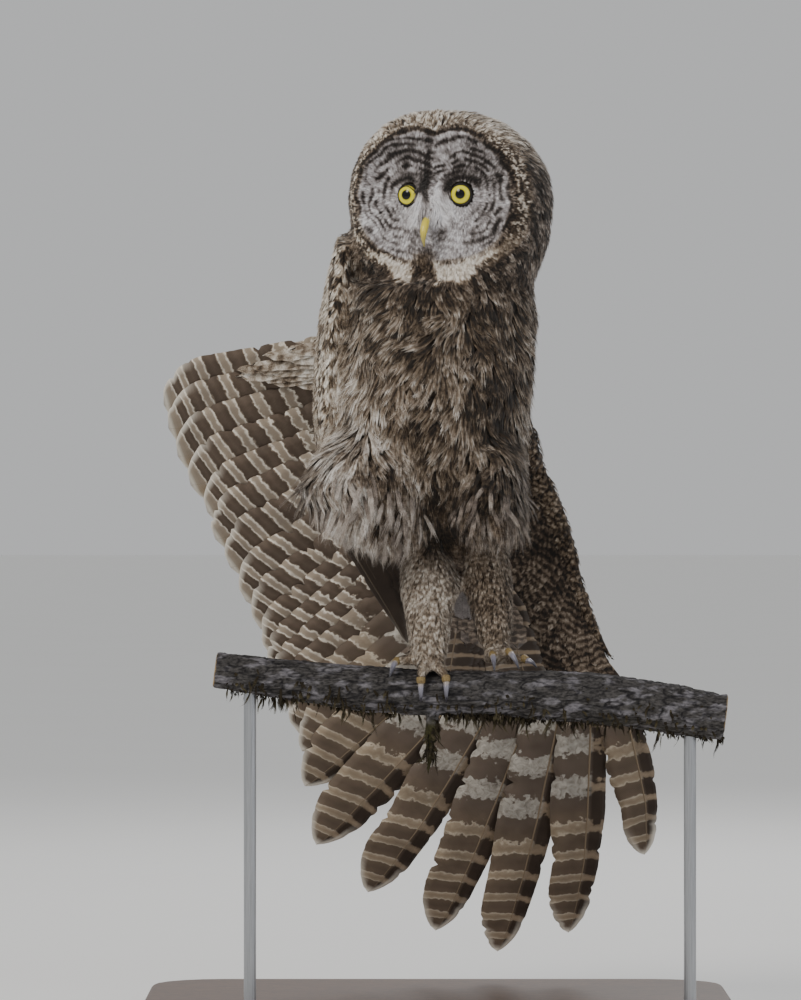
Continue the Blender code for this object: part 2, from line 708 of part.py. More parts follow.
def make_coverts(name, feathers, depth):
    """A plate of wing coverts over the inner part of the flight feathers."""
    columns = []
    for k, (_, root, tip, _, bow, _) in enumerate(feathers):
        if k % 2 and k < len(feathers) - 1:
            continue
        root, tip = np.array(root), np.array(tip)
        over = np.array((-(tip - root)[1], (tip - root)[0]))
        column = []
        for v in np.linspace(-0.04, COVERT_SHARE, 4):
            middle = root + (tip - root) * v + over * 4 * bow * v * (1 - v)
            column.append((*middle, depth - STACK_STEP * k))
        columns.append(column)
    return plate(name, columns, COVERT_THICK, lift_wing, "plumage")


def lift_tail(point, depth):
    """Places a point of the tail: across it and along it, and this far above."""
    over = Vector((1, 0, 0))
    over = (over - TAIL_WAY * over.dot(TAIL_WAY)).normalized()
    up = over.cross(TAIL_WAY)
    return TAIL_ROOT + over * point[0] + TAIL_WAY * point[1] + up * depth


def make_tail(*before):
    """The nearly closed tail: outer feathers below, the middle pair on top."""
    widths = (TAIL_FEATHER_HALF, TAIL_FEATHER_HALF, 1.0, 1.0)
    for layer, (name, side) in enumerate((("right", -1), ("left", 1), ("centre", 0))):
        root = (side * TAIL_ROOT_STEP, TAIL_START)
        tip = (side * TAIL_TIP_STEP, TAIL_LENGTH - TAIL_SIDE_SHORTER * abs(side))
        depth = layer * (FEATHER_THICK + 2 * GAP)
        cut(feather(f"tail_feathers_{name}", root, tip, widths, 0.0, depth, lift_tail, 0.0), *before)


def make_arm(name, rows):
    """A limb of the spread wing, its centres just before the wing's sheet."""
    made = []
    for x, z, before, wide, thick in rows:
        made.append((*on_sheet((x, z), before), wide, thick))
    return tube(name, made, "plumage", sides=10, count=7)


def make_base():
    """The stand's flat base, square with round corners."""
    outline = []
    half = BASE_SIDE / 2 - BASE_CORNER
    for quarter, (sx, sy) in enumerate(((1, 1), (-1, 1), (-1, -1), (1, -1))):
        for k in range(CORNER_POINTS):
            turn = math.radians(90 * quarter + 90 * k / (CORNER_POINTS - 1))
            x = sx * half + BASE_CORNER * math.cos(turn)
            y = sy * half + BASE_CORNER * math.sin(turn)
            outline.append((x, y))
    count = len(outline)
    points = []
    rings = ((0, 0), (BASE_HEIGHT - BASE_CHAMFER, 0), (BASE_HEIGHT, BASE_CHAMFER))
    for z, shrink in rings:
        for x, y in outline:
            keep = 1 - shrink / (BASE_SIDE / 2)
            points.append((x * keep, y * keep, z))
    faces = [tuple(range(count)), tuple(range(2 * count, 3 * count))]
    for ring in range(2):
        for k in range(count):
            n = (k + 1) % count
            here, there = ring * count, (ring + 1) * count
            faces.append((here + k, here + n, there + n, there + k))
    made = solid("stand_base", points, faces, "stand_wood")
    for face in made.data.polygons:
        face.use_smooth = False
    return made


def make_rods(perch):
    """The two upright rods, each ending in a saddle under the perch."""
    for name, x in ROD_X.items():
        z, _ = perch_at(x)
        low = BASE_HEIGHT + GAP
        rows = [(x, PERCH_Y, low + (z - low) * k / 3, ROD_RADIUS, ROD_RADIUS) for k in range(4)]
        cut(tube(name, rows, "stand_steel", sides=16), perch)


def main():
    """Builds the owl, its perch and its stand."""
    head = make_head()
    eyes = [make_eye("eye_right", -1), make_eye("eye_left", 1)]
    upper = tube("bill_upper", head_rows(UPPER_BILL_ROWS), "bill_horn", sides=10, count=9)
    lower = tube("bill_lower", head_rows(LOWER_BILL_ROWS), "bill_horn", sides=10, count=6)
    cut(lower, upper)
    cut(head, *eyes, upper, lower)

    neck = tube("neck", NECK_ROWS, "plumage", sides=20, level=True)
    trunk = tube("trunk", TRUNK_ROWS, "plumage", sides=20, count=9, level=True)
    right_thigh = tube("thigh_right", RIGHT_THIGH_ROWS, "plumage", 14, level=True)
    left_thigh = tube("thigh_left", LEFT_THIGH_ROWS, "plumage", 14, level=True)
    cut(right_thigh, trunk)
    cut(left_thigh, trunk, right_thigh)
    right_leg = tube("leg_right", RIGHT_LEG_ROWS, "plumage", sides=12, count=8)
    left_leg = tube("leg_left", LEFT_LEG_ROWS, "plumage", sides=12, count=7)
    cut(right_leg, trunk, right_thigh, left_thigh)
    cut(left_leg, trunk, right_thigh, left_thigh, right_leg)

    perch = make_perch()
    feet, claws = make_feet()
    cut(feet["right"], perch, right_leg)
    cut(feet["left"], perch, left_leg)
    for (side, _), made in claws.items():
        cut(made, perch, feet[side])

    tail_base = tube("tail_base", TAIL_BASE_ROWS, "plumage", sides=12, count=6)
    cut(tail_base, trunk, left_leg, right_leg, left_thigh, right_thigh)
    make_tail(tail_base)

    right_coverts = tube("wing_right", RIGHT_COVERT_ROWS, "plumage", sides=12, count=8)
    cut(right_coverts, trunk, neck, head, right_thigh)
    right_primaries = tube("wing_right_primaries", RIGHT_PRIMARY_ROWS, "flight_feather", 12, 7)
    cut(right_primaries, trunk, right_coverts)

    feathers = wing_feathers()
    upper_arm = tube("upper_arm_left", UPPER_ARM_ROWS, "plumage", sides=12, count=5)
    cut(upper_arm, trunk, neck)
    forearm = make_arm("forearm_left", FOREARM_ROWS)
    cut(forearm, upper_arm)
    hand = make_arm("hand_left", HAND_ROWS)
    cut(hand, forearm)
    for k, (name, root, tip, widths, bow, end) in enumerate(feathers):
        made = feather(name, root, tip, widths, bow, -STACK_STEP * k, lift_wing, end=end)
        cut(made, forearm, hand)
    under = make_coverts("underwing_coverts_left", feathers, UNDERWING_DEPTH)
    over = make_coverts("upperwing_coverts_left", feathers, UPPERWING_DEPTH)
    cut(under, upper_arm, forearm, hand, right_primaries)
    cut(over, upper_arm, forearm, hand)

    for made in bpy.data.objects:
        for vertex in made.data.vertices:
            vertex.co.y += PERCH_Y
    make_base()
    make_rods(perch)


main()
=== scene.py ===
"""Looks of a great grey owl with one wing spread: skin, coat, flight feathers, eyes, perch and stand."""

import math

import bmesh
import bpy
import numpy as np
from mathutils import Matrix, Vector
from mathutils.bvhtree import BVHTree
from mathutils.kdtree import KDTree


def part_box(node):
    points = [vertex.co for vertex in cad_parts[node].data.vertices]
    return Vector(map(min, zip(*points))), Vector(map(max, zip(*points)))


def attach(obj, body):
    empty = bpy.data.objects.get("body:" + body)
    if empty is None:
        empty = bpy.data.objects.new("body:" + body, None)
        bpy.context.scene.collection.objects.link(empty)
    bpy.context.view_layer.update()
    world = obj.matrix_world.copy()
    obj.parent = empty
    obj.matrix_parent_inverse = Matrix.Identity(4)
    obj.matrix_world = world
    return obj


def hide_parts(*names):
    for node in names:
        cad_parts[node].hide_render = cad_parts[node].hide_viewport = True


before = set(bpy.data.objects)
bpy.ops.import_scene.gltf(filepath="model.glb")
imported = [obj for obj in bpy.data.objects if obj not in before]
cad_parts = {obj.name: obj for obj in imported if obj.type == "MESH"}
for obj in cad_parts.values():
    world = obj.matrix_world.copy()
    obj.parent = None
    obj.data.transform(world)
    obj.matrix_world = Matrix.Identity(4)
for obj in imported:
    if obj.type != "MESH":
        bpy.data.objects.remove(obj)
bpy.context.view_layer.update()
chance = np.random.default_rng(11)

# Solids of flesh that the one skin stands for, and solids of feather that the coat's rows stand for
FLESH = (
    "head", "neck", "trunk", "thigh_right", "thigh_left", "leg_right", "leg_left", "foot_right",
    "foot_left", "wing_right", "tail_base", "upper_arm_left", "forearm_left", "hand_left",
)
FEATHER_ROWS = {"under": "underwing_coverts_left", "over": "upperwing_coverts_left"}

# Solids inside the skin that keep the holes for eyes and bill closed
PLUGS = ("eye_right", "eye_left", "bill_upper", "bill_lower")
# The solids are grown by this much to close the gaps between them, less at the slender ones
BRIDGE = 0.0024
FINE_BRIDGE = 0.0008
FINE_PARTS = ("foot_right", "foot_left", "leg_right", "leg_left", "hand_left", "forearm_left")
# Space between the skin's points, and rounds of smoothing
SKIN_GRID = 0.0024
SKIN_ROUNDS = 5

# Coat by part: depth, length and width of a tuft, and space between roots, in metres
COAT = {
    "head": (0.0034, 0.0100, 0.0042, 0.0030),
    "neck": (0.0050, 0.0155, 0.0072, 0.0040),
    "trunk": (0.0058, 0.0190, 0.0080, 0.0043),
    "thigh_right": (0.0066, 0.0190, 0.0062, 0.0040),
    "thigh_left": (0.0066, 0.0170, 0.0062, 0.0040),
    "leg_right": (0.0036, 0.0110, 0.0034, 0.0025),
    "leg_left": (0.0036, 0.0115, 0.0034, 0.0026),
    "foot_right": (0.0010, 0.0040, 0.0018, 0.0016),
    "foot_left": (0.0010, 0.0040, 0.0018, 0.0016),
    "wing_right": (0.0024, 0.0072, 0.0056, 0.0036),
    "tail_base": (0.0036, 0.0200, 0.0090, 0.0060),
    "upper_arm_left": (0.0030, 0.0120, 0.0060, 0.0044),
    "forearm_left": (0.0030, 0.0120, 0.0060, 0.0044),
    "hand_left": (0.0026, 0.0100, 0.0050, 0.0038),
}
FACE_COAT = (0.0017, 0.0046, 0.0018, 0.00165)
# The face's fine coat goes on outside the disc as far as the ruff
RUFF_SHARE = 1.12
RUFF_DEPTH = 0.022
# How quickly one part's coat turns into the next
BLEND = 0.006
# Below this height the plumage of the thighs hangs loose over the legs
HEM = 0.435

# Facial disc, from the point between the eyes: half width, height above and below
DISC_SIDE = 0.0675
DISC_TOP = 0.0585
DISC_LOW = 0.0560
# How far the disc's upper edge dips between the brows, and how square its lower half is
BROW_DIP = 0.0085
DISC_SQUARE = 2.6
# The bill and the line above it lie this far to the owl's right of the middle of the eyes, and
# the middle of the bow tie under the chin still further
BILL_SHIFT = 0.0033
BOW_SHIFT = 0.0095
# The right eyeball sits this much nearer to the bill than its solid
EYE_IN = 0.0030
# Space between the dark rings round the eyes
RING_SPACING = 0.0058
# Heights and places across of the strip of small scales down the folded wing's front edge
STRIP_HEIGHTS = (0.491, 0.540, 0.573, 0.6055, 0.638)
STRIP_PLACES = (-0.1035, -0.0985, -0.0936, -0.0871, -0.0785)

# A patch of the coat's map for one tuft, and the most triangles in one piece of coat
PATCH = 0.003
MOST_TRIANGLES = 180000

# Pale bars of the flight feathers, in metres from the tip
SECONDARY_BARS = (0.011, 0.024, 0.042, 0.063, 0.086, 0.110, 0.136, 0.164, 0.194, 0.226, 0.260, 0.296)
PRIMARY_BARS = (0.000, 0.017, 0.037, 0.057, 0.080, 0.107, 0.150, 0.192, 0.238, 0.288, 0.338, 0.388)
# A vane with no bar at all, for the folded wing's feathers, whose bars are lost in painted shade
SHADED_NO_BARS = (-10.0, 10.0)
# Space between the fine bars of contour feathers
FINE_BARS = 0.0058

# Photograph: its size and scale at the perch, and the column of pixels where the stand's middle lies
PHOTO_WIDE = 801
PHOTO_HIGH = 1000
PIXELS_PER_METRE = 1230
MIDDLE_PIXEL_X = 440
# Camera: lens and sensor in millimetres, then its place across and its height in metres
LENS = 200
SENSOR = 36
CAMERA_X = (PHOTO_WIDE / 2 - MIDDLE_PIXEL_X) / PIXELS_PER_METRE
CAMERA_Z = 0.4425
FLOOR_RADIUS = 40.0
# The lights are turned to this place on the owl
LIGHTS_AIM = (0.0, -0.1, 0.42)


def unit(vectors):
    """Vectors of length one."""
    return vectors / np.maximum(np.linalg.norm(vectors, axis=-1, keepdims=True), 1e-9)


def smooth_step(low, high, value):
    """0 below low, 1 above high, and a smooth rise between them."""
    share = np.clip((value - low) / (high - low), 0, 1)
    return share * share * (3 - 2 * share)


def noise(points, size, seed=0):
    """Smooth random values from 0 to 1 at the points, in cells of this size."""
    scaled = points / np.asarray(size, float) + 17.3 * seed
    cell = np.floor(scaled).astype(np.int64)
    part = scaled - cell
    part = part * part * (3 - 2 * part)
    total = np.zeros(len(points))
    for corner in range(8):
        step = np.array([(corner >> axis) & 1 for axis in range(3)])
        share = np.prod(np.where(step, part, 1 - part), axis=1)
        key = (cell + step) @ np.array((73856093, 19349663, 83492791))
        key = ((key ^ (key >> 13)) * 1274126177) & 0x7FFFFFFF
        key = ((key ^ (key >> 15)) * 668265263) & 0x7FFFFFFF
        total += share * ((key >> 8) % 4096) / 4095
    return total


def patches(points, size, seed):
    """Light and dark patches of about this size, from -0.5 to 0.5."""
    return smooth_step(0.30, 0.70, noise(points, size, seed)) - 0.5


def centre(name):
    """Centre of a solid's box."""
    low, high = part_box(name)
    return np.array((low + high) / 2)


def solid_mesh(name):
    """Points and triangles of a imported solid."""
    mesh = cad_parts[name].data
    mesh.calc_loop_triangles()
    points = np.array([v.co[:] for v in mesh.vertices])
    triangles = np.array([t.vertices[:] for t in mesh.loop_triangles])
    return points, triangles


# Face: the line through the eyes gives the way the head is turned
EYES = {"right": centre("eye_right"), "left": centre("eye_left")}
FACE_MIDDLE = (EYES["right"] + EYES["left"]) / 2
FACE_X = unit(EYES["left"] - EYES["right"])
FACE_Z = np.array((0.0, 0.0, 1.0))
FACE_Y = np.cross(FACE_Z, FACE_X)
EYE_APART = float(np.linalg.norm(EYES["left"] - EYES["right"]))
EYE_RADIUS = float(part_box("eye_left")[1].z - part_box("eye_left")[0].z) / 2
EYEBALLS = {"right": EYES["right"] + FACE_X * EYE_IN, "left": EYES["left"]}


def in_face(points):
    """Points as seen from between the eyes: to the owl's left, back and up."""
    away = points - FACE_MIDDLE
    return np.stack((away @ FACE_X, away @ FACE_Y, away @ FACE_Z), axis=-1)


def from_face(x, y, z):
    """A world point from a place told from between the eyes."""
    return FACE_MIDDLE + FACE_X * x + FACE_Y * y + FACE_Z * z


def disc_share(place):
    """How far out in the facial disc a place is: 0 in the middle, 1 at its edge."""
    across, z = np.abs(place[:, 0]) / DISC_SIDE, place[:, 2]
    top = DISC_TOP - BROW_DIP * np.exp(-((place[:, 0] / 0.010) ** 2))
    upper = np.hypot(across, z / top)
    lower = (across**DISC_SQUARE + np.abs(z / DISC_LOW) ** DISC_SQUARE) ** (1 / DISC_SQUARE)
    return np.where(z > 0, upper, lower)


def eye_place(x):
    """How far from the middle the eyeball on this side of the face is."""
    return EYE_APART / 2 - EYE_IN * (x < 0)


def put(name, data):
    """An object with this name in the scene."""
    made = bpy.data.objects.new(name, data)
    bpy.context.scene.collection.objects.link(made)
    return made


def tell(mesh, values):
    """Gives a mesh a value for each point under each name, for its finish to read."""
    for key, value in values.items():
        layer = mesh.attributes.new(key, "FLOAT", "POINT")
        layer.data.foreach_set("value", np.asarray(value, np.float32).ravel())


def read(items, key, width=3, kind=float):
    """One property of a mesh's points, edges or corners, in rows of this width."""
    values = np.empty(len(items) * width, kind)
    items.foreach_get(key, values)
    return values.reshape(-1, width)


def build(name, points, faces, values, material, hides=(), uv=None):
    """An object from arrays of points and faces, with a value for each point under each name."""
    mesh = bpy.data.meshes.new(name)
    mesh.vertices.add(len(points))
    mesh.vertices.foreach_set("co", np.asarray(points, np.float32).ravel())
    corners = np.concatenate([np.asarray(group).ravel() for group in faces]).astype(np.int32)
    sizes = np.concatenate([np.full(len(group), group.shape[1]) for group in faces])
    starts = np.concatenate(((0,), np.cumsum(sizes)[:-1])).astype(np.int32)
    mesh.loops.add(len(corners))
    mesh.loops.foreach_set("vertex_index", corners)
    mesh.polygons.add(len(sizes))
    mesh.polygons.foreach_set("loop_start", starts)
    mesh.update(calc_edges=True)
    mesh.polygons.foreach_set("use_smooth", np.ones(len(sizes), bool))
    tell(mesh, values)
    if uv is not None:
        layer = mesh.uv_layers.new(name="OFBake")
        layer.data.foreach_set("uv", np.asarray(uv, np.float32)[corners].ravel())
    mesh.materials.append(material)
    mesh.validate()
    return settle(put(name, mesh), hides)


def settle(made, hides=()):
    """Ties a finished piece to the body and hides the solids that it stands for."""
    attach(made, "root")
    if hides:
        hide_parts(*hides)
    return made


def grid_faces(rows, columns, first=0, closed=False):
    """Four-cornered faces of a grid of points, row by row."""
    wide = columns if closed else columns - 1
    cells = np.meshgrid(np.arange(rows - 1), np.arange(wide), indexing="ij")
    row, column = cells[0].ravel(), cells[1].ravel()
    near, far = row * columns, (row + 1) * columns
    after = (column + 1) % columns
    return first + np.stack((near + column, near + after, far + after, far + column), 1)


def ring_caps(rings, sides):
    """The faces that close the first and the last of several rings of points."""
    return np.array([np.arange(sides)[::-1], (rings - 1) * sides + np.arange(sides)])


def turns(sides):
    """Angles of even steps once round."""
    return np.arange(sides) * 2 * math.pi / sides


def nearest(tree, points):
    """The nearest places on a surface and its normals there."""
    found = [tree.find_nearest(point)[:2] for point in points.tolist()]
    return np.array([met[:] for met, _ in found]), np.array([normal[:] for _, normal in found])


# Shader nodes

def linear(colour):
    """Linear colour of an sRGB hex value."""
    parts = [int(colour[k : k + 2], 16) / 255 for k in (1, 3, 5)]
    return (*[p / 12.92 if p <= 0.04045 else ((p + 0.055) / 1.055) ** 2.4 for p in parts], 1.0)


def add(tree, kind, parts, out=0):
    """Adds a shader node. Its parts are settings, and sockets with a value, a hex colour or a source."""
    node = tree.nodes.new("ShaderNode" + kind)
    for key, value in parts.items():
        if key == "stops":
            ramp = node.color_ramp
            while len(ramp.elements) < len(value):
                ramp.elements.new(0.5)
            for element, (place, colour) in zip(ramp.elements, value):
                element.position = place
                element.color = linear(colour) if isinstance(colour, str) else (colour,) * 3 + (1,)
        elif isinstance(key, str) and key.islower():
            setattr(node, key, value)
        elif isinstance(value, bpy.types.NodeSocket):
            tree.links.new(value, node.inputs[key])
        else:
            node.inputs[key].default_value = linear(value) if isinstance(value, str) else value
    return node.outputs[out]


def new_finish(name, **values):
    """A material with its Principled shader's own values set."""
    made = bpy.data.materials.new(name)
    made.use_nodes = True
    shader = made.node_tree.nodes["Principled BSDF"]
    for key, value in values.items():
        shader.inputs[key.replace("_", " ")].default_value = value
    return made, made.node_tree


def finished(made, **sources):
    """The material, with these sources led to its Principled shader."""
    shader = made.node_tree.nodes["Principled BSDF"]
    for key, source in sources.items():
        made.node_tree.links.new(source, shader.inputs[key.replace("_", " ")])
    return made


def plumage_finish():
    """Contour feather keratin: matt, soft at grazing light, brown-grey to off-white barbs."""
    made, tree = new_finish(
        "contour_feather", Roughness=0.82, Sheen_Weight=0.16, Sheen_Roughness=0.6, Specular_IOR_Level=0.22)
    place = add(tree, "TexCoord", {}, "Object")
    # Flecks of pigment 1 mm across, coarser than the barbules that make them in life
    fleck = add(tree, "TexNoise", {"Vector": place, "Scale": 1 / 0.0010, "Detail": 3.0}, "Fac")
    tone = add(tree, "Attribute", {"attribute_name": "tone"}, "Fac")
    tone = add(tree, "Math", {"operation": "MULTIPLY_ADD", 0: fleck, 1: 0.56, 2: tone})
    tone = add(tree, "Math", {"operation": "SUBTRACT", 0: tone, 1: 0.28})
    # Fine wavy bars across each feather, their waves about 4 mm long
    wavy = add(tree, "TexNoise", {"Vector": place, "Scale": 1 / 0.0045, "Detail": 3.0}, "Fac")
    phase = add(tree, "Attribute", {"attribute_name": "bar_phase"}, "Fac")
    phase = add(tree, "Math", {"operation": "MULTIPLY_ADD", 0: wavy, 1: 6.0, 2: phase})
    wave = add(tree, "Math", {"operation": "SINE", 0: phase})
    deep = add(tree, "Attribute", {"attribute_name": "bar_depth"}, "Fac")
    tone = add(tree, "Math", {"operation": "MULTIPLY_ADD", 0: wave, 1: deep, 2: tone})
    brown = add(tree, "ValToRGB", {"Fac": tone, "stops": (
        (0.00, "#18120c"), (0.25, "#433527"), (0.50, "#82715d"), (0.75, "#c2b5a3"), (1.00, "#f2ece0"),
    )})
    grey = add(tree, "ValToRGB", {"Fac": tone, "stops": (
        (0.00, "#1b1919"), (0.25, "#464344"), (0.50, "#848184"), (0.75, "#bbb8bc"), (1.00, "#ebeaec"),
    )})
    cool = add(tree, "Attribute", {"attribute_name": "cool"}, "Fac")
    gold = add(tree, "Attribute", {"attribute_name": "gold"}, "Fac")
    colour = add(tree, "Mix", {"data_type": "RGBA", 0: cool, 6: brown, 7: grey}, 2)
    colour = add(tree, "Mix", {"data_type": "RGBA", 0: gold, 6: colour, 7: "#9c8450"}, 2)
    return finished(made, Base_Color=colour)


def vane_finish():
    """Flight feather vane: smooth, faintly silky, dark brown with ragged pale bars and fine barbs."""
    made, tree = new_finish(
        "flight_feather_vane", Roughness=0.60, Sheen_Weight=0.10, Specular_IOR_Level=0.3)
    place = add(tree, "TexCoord", {}, "Object")
    told = {}
    for name in ("from_tip", "phase", "outer", "rim", "barb", "shaft", "soft", "free"):
        told[name] = add(tree, "Attribute", {"attribute_name": name}, "Fac")
    # The bars' edges wander in lobes of 5 to 6 mm, by a fifth of a bar and more near the root
    ragged = add(tree, "TexNoise", {"Vector": place, "Scale": 1 / 0.0058, "Detail": 5.0}, "Fac")
    ragged = add(tree, "Math", {"operation": "SUBTRACT", 0: ragged, 1: 0.5})
    loose = add(tree, "MapRange", {
        "Value": told["from_tip"], "From Min": 0.06, "From Max": 0.17, "To Min": 0.26, "To Max": 0.80})
    phase = add(tree, "Math", {"operation": "MULTIPLY_ADD", 0: ragged, 1: loose, 2: told["phase"]})
    phase = add(tree, "Math", {"operation": "ADD", 0: phase, 1: 20.5})
    phase = add(tree, "Math", {"operation": "FRACT", 0: phase})
    phase = add(tree, "Math", {"operation": "SUBTRACT", 0: phase, 1: 0.5})
    away = add(tree, "Math", {"operation": "ABSOLUTE", 0: phase})
    # Sharp bars have two bright edges. Soft ones, on the long outer feathers, are plain tan
    sharp = add(tree, "ValToRGB", {"Fac": away, "stops": (
        (0.00, "#9a8c7b"), (0.10, "#a09382"), (0.145, "#d9d0c1"), (0.19, "#ebe4d6"), (0.215, "#8b7c6c"),
        (0.26, "#54473b"), (0.50, "#64564a"),
    )})
    # The bright edges fade in places, in stretches of 5 mm
    worn = add(tree, "TexNoise", {"Vector": place, "Scale": 1 / 0.005, "Detail": 2.0}, "Fac")
    worn = add(tree, "MapRange", {"Value": worn, "From Min": 0.48, "From Max": 0.70, "To Max": 0.45})
    worn_bar = add(tree, "ValToRGB", {"Fac": away, "stops": ((0.16, "#92867a"), (0.25, "#63564a"))})
    sharp = add(tree, "Mix", {"data_type": "RGBA", 0: worn, 6: sharp, 7: worn_bar}, 2)
    soft = add(tree, "ValToRGB", {"Fac": away, "stops": (
        (0.00, "#94846f"), (0.12, "#a39580"), (0.17, "#c4b8a4"), (0.215, "#6f6152"), (0.50, "#66594c"),
    )})
    tips = add(tree, "Mix", {"data_type": "RGBA", 0: told["soft"], 6: sharp, 7: soft}, 2)
    blotch = add(tree, "TexNoise", {
        "Vector": place, "Scale": 1 / 0.0065, "Detail": 6.0, "Roughness": 0.62, "Distortion": 1.3}, "Fac")
    mottle = add(tree, "ValToRGB", {"Fac": blotch, "stops": ((0.34, "#8b8479"), (0.66, "#c6c2b8"))})
    pale = add(tree, "MapRange", {
        "Value": away, "From Min": 0.20, "From Max": 0.25, "To Min": 1.0, "To Max": 0.0})
    basal = add(tree, "Mix", {"data_type": "RGBA", 0: pale, 6: "#675b50", 7: mottle}, 2)
    far = add(tree, "MapRange", {"Value": told["from_tip"], "From Min": 0.122, "From Max": 0.134})
    far = add(tree, "Math", {"operation": "MULTIPLY", 0: far, 1: told["soft"]})
    inner = add(tree, "Mix", {"data_type": "RGBA", 0: far, 6: tips, 7: basal}, 2)
    # The dark outer vane; the folded wing's feathers take it all over as painted shade
    dark = add(tree, "ValToRGB", {"Fac": away, "stops": (
        (0.00, "#9c8b75"), (0.12, "#8a7a66"), (0.17, "#3f342b"), (1.00, "#30271f"),
    )})
    colour = add(tree, "Mix", {"data_type": "RGBA", 0: told["outer"], 6: inner, 7: dark}, 2)
    # Painted light: the free edge is painted up to a quarter brighter, as if light came through it. Broad
    # clouds make one part darker than another
    cloud = add(tree, "TexNoise", {"Vector": place, "Scale": 1 / 0.022, "Detail": 2.0}, "Fac")
    lit = add(tree, "MapRange", {
        "Value": cloud, "From Min": 0.3, "From Max": 0.7, "To Min": 0.78, "To Max": 1.12})
    lit = add(tree, "Math", {"operation": "MULTIPLY_ADD", 0: told["free"], 1: 0.26, 2: lit})
    wave = add(tree, "CombineXYZ", {"X": told["barb"]})
    barb = add(tree, "TexWave", {"Vector": wave, "Scale": 190.0, "Distortion": 1.2, "Detail": 1.0}, "Fac")
    fine = add(tree, "MapRange", {"Value": barb, "To Min": 0.88, "To Max": 1.07})
    lit = add(tree, "Math", {"operation": "MULTIPLY", 0: lit, 1: fine})
    lit = add(tree, "CombineColor", {"Red": lit, "Green": lit, "Blue": lit})
    colour = add(tree, "Mix", {"data_type": "RGBA", "blend_type": "MULTIPLY", 0: 1.0, 6: colour, 7: lit}, 2)
    colour = add(tree, "Mix", {"data_type": "RGBA", 0: told["rim"], 6: colour, 7: "#e4ded1"}, 2)
    colour = add(tree, "Mix", {"data_type": "RGBA", 0: told["shaft"], 6: colour, 7: "#8b7a63"}, 2)
    relief = add(tree, "Bump", {"Height": barb, "Distance": 0.0002, "Strength": 0.5})
    return finished(made, Base_Color=colour, Normal=relief)


def horn_finish(name, stops, roughness, fibre):
    """Keratin horn: dense and half glossy, with fine lines of growth along it."""
    made, tree = new_finish(
        name, Roughness=roughness, Coat_Weight=0.35, Coat_Roughness=0.25, IOR=1.54)
    place = add(tree, "TexCoord", {}, "Object")
    place = add(tree, "Mapping", {"Vector": place, "Scale": (1, 1, 0.25)})
    lines = add(tree, "TexNoise", {"Vector": place, "Scale": 1 / fibre, "Detail": 2.0}, "Fac")
    along = add(tree, "Attribute", {"attribute_name": "along"}, "Fac")
    shade = add(tree, "Math", {"operation": "MULTIPLY_ADD", 0: lines, 1: 0.22, 2: along})
    shade = add(tree, "Math", {"operation": "SUBTRACT", 0: shade, 1: 0.11})
    colour = add(tree, "ValToRGB", {"Fac": shade, "stops": stops})
    relief = add(tree, "Bump", {"Height": lines, "Distance": 0.0002, "Strength": 0.35})
    return finished(made, Base_Color=colour, Normal=relief)


def eye_finish():
    """Living eye: wet and glossy, a yellow iris with fine spokes and a dark edge round a black pupil."""
    made, tree = new_finish(
        "wet_eye", Roughness=0.16, Coat_Weight=0.45, Coat_Roughness=0.02, IOR=1.376, Specular_IOR_Level=0.2)
    radial = add(tree, "Attribute", {"attribute_name": "radial"}, "Fac")
    turn = add(tree, "Attribute", {"attribute_name": "turn"}, "Fac")
    round_it = add(tree, "Math", {"operation": "MULTIPLY", 0: turn, 1: 26.0})
    outwards = add(tree, "Math", {"operation": "MULTIPLY", 0: radial, 1: 1.6})
    spoke = add(tree, "CombineXYZ", {"X": round_it, "Y": outwards})
    spoke = add(tree, "TexNoise", {"Vector": spoke, "Scale": 1.0, "Detail": 3.0}, "Fac")
    place = add(tree, "Math", {"operation": "MULTIPLY_ADD", 0: spoke, 1: 0.05, 2: radial})
    place = add(tree, "Math", {"operation": "SUBTRACT", 0: place, 1: 0.025})
    colour = add(tree, "ValToRGB", {"Fac": place, "stops": (
        (0.00, "#05060a"), (0.435, "#06080c"), (0.465, "#8f8a1c"), (0.54, "#ddd22c"), (0.72, "#efe540"),
        (0.88, "#dcd13a"), (0.945, "#6d6518"), (0.985, "#14100a"),
    )})
    lit = add(tree, "MapRange", {"Value": spoke, "To Min": 0.84, "To Max": 1.10})
    lit = add(tree, "CombineColor", {"Red": lit, "Green": lit, "Blue": lit})
    colour = add(tree, "Mix", {"data_type": "RGBA", "blend_type": "MULTIPLY", 0: 1.0, 6: colour, 7: lit}, 2)
    return finished(made, Base_Color=colour)


def lid_finish():
    """Bare lid skin: thin, dark grey-brown and slightly moist, with fine wrinkles."""
    made, tree = new_finish("lid_skin", Roughness=0.46, Specular_IOR_Level=0.35)
    place = add(tree, "TexCoord", {}, "Object")
    wrinkle = add(tree, "TexNoise", {"Vector": place, "Scale": 1 / 0.0009, "Detail": 3.0}, "Fac")
    colour = add(tree, "Mix", {"data_type": "RGBA", 0: wrinkle, 6: "#0a0808", 7: "#241e1b"}, 2)
    relief = add(tree, "Bump", {"Height": wrinkle, "Distance": 0.0002, "Strength": 0.6})
    return finished(made, Base_Color=colour, Normal=relief)


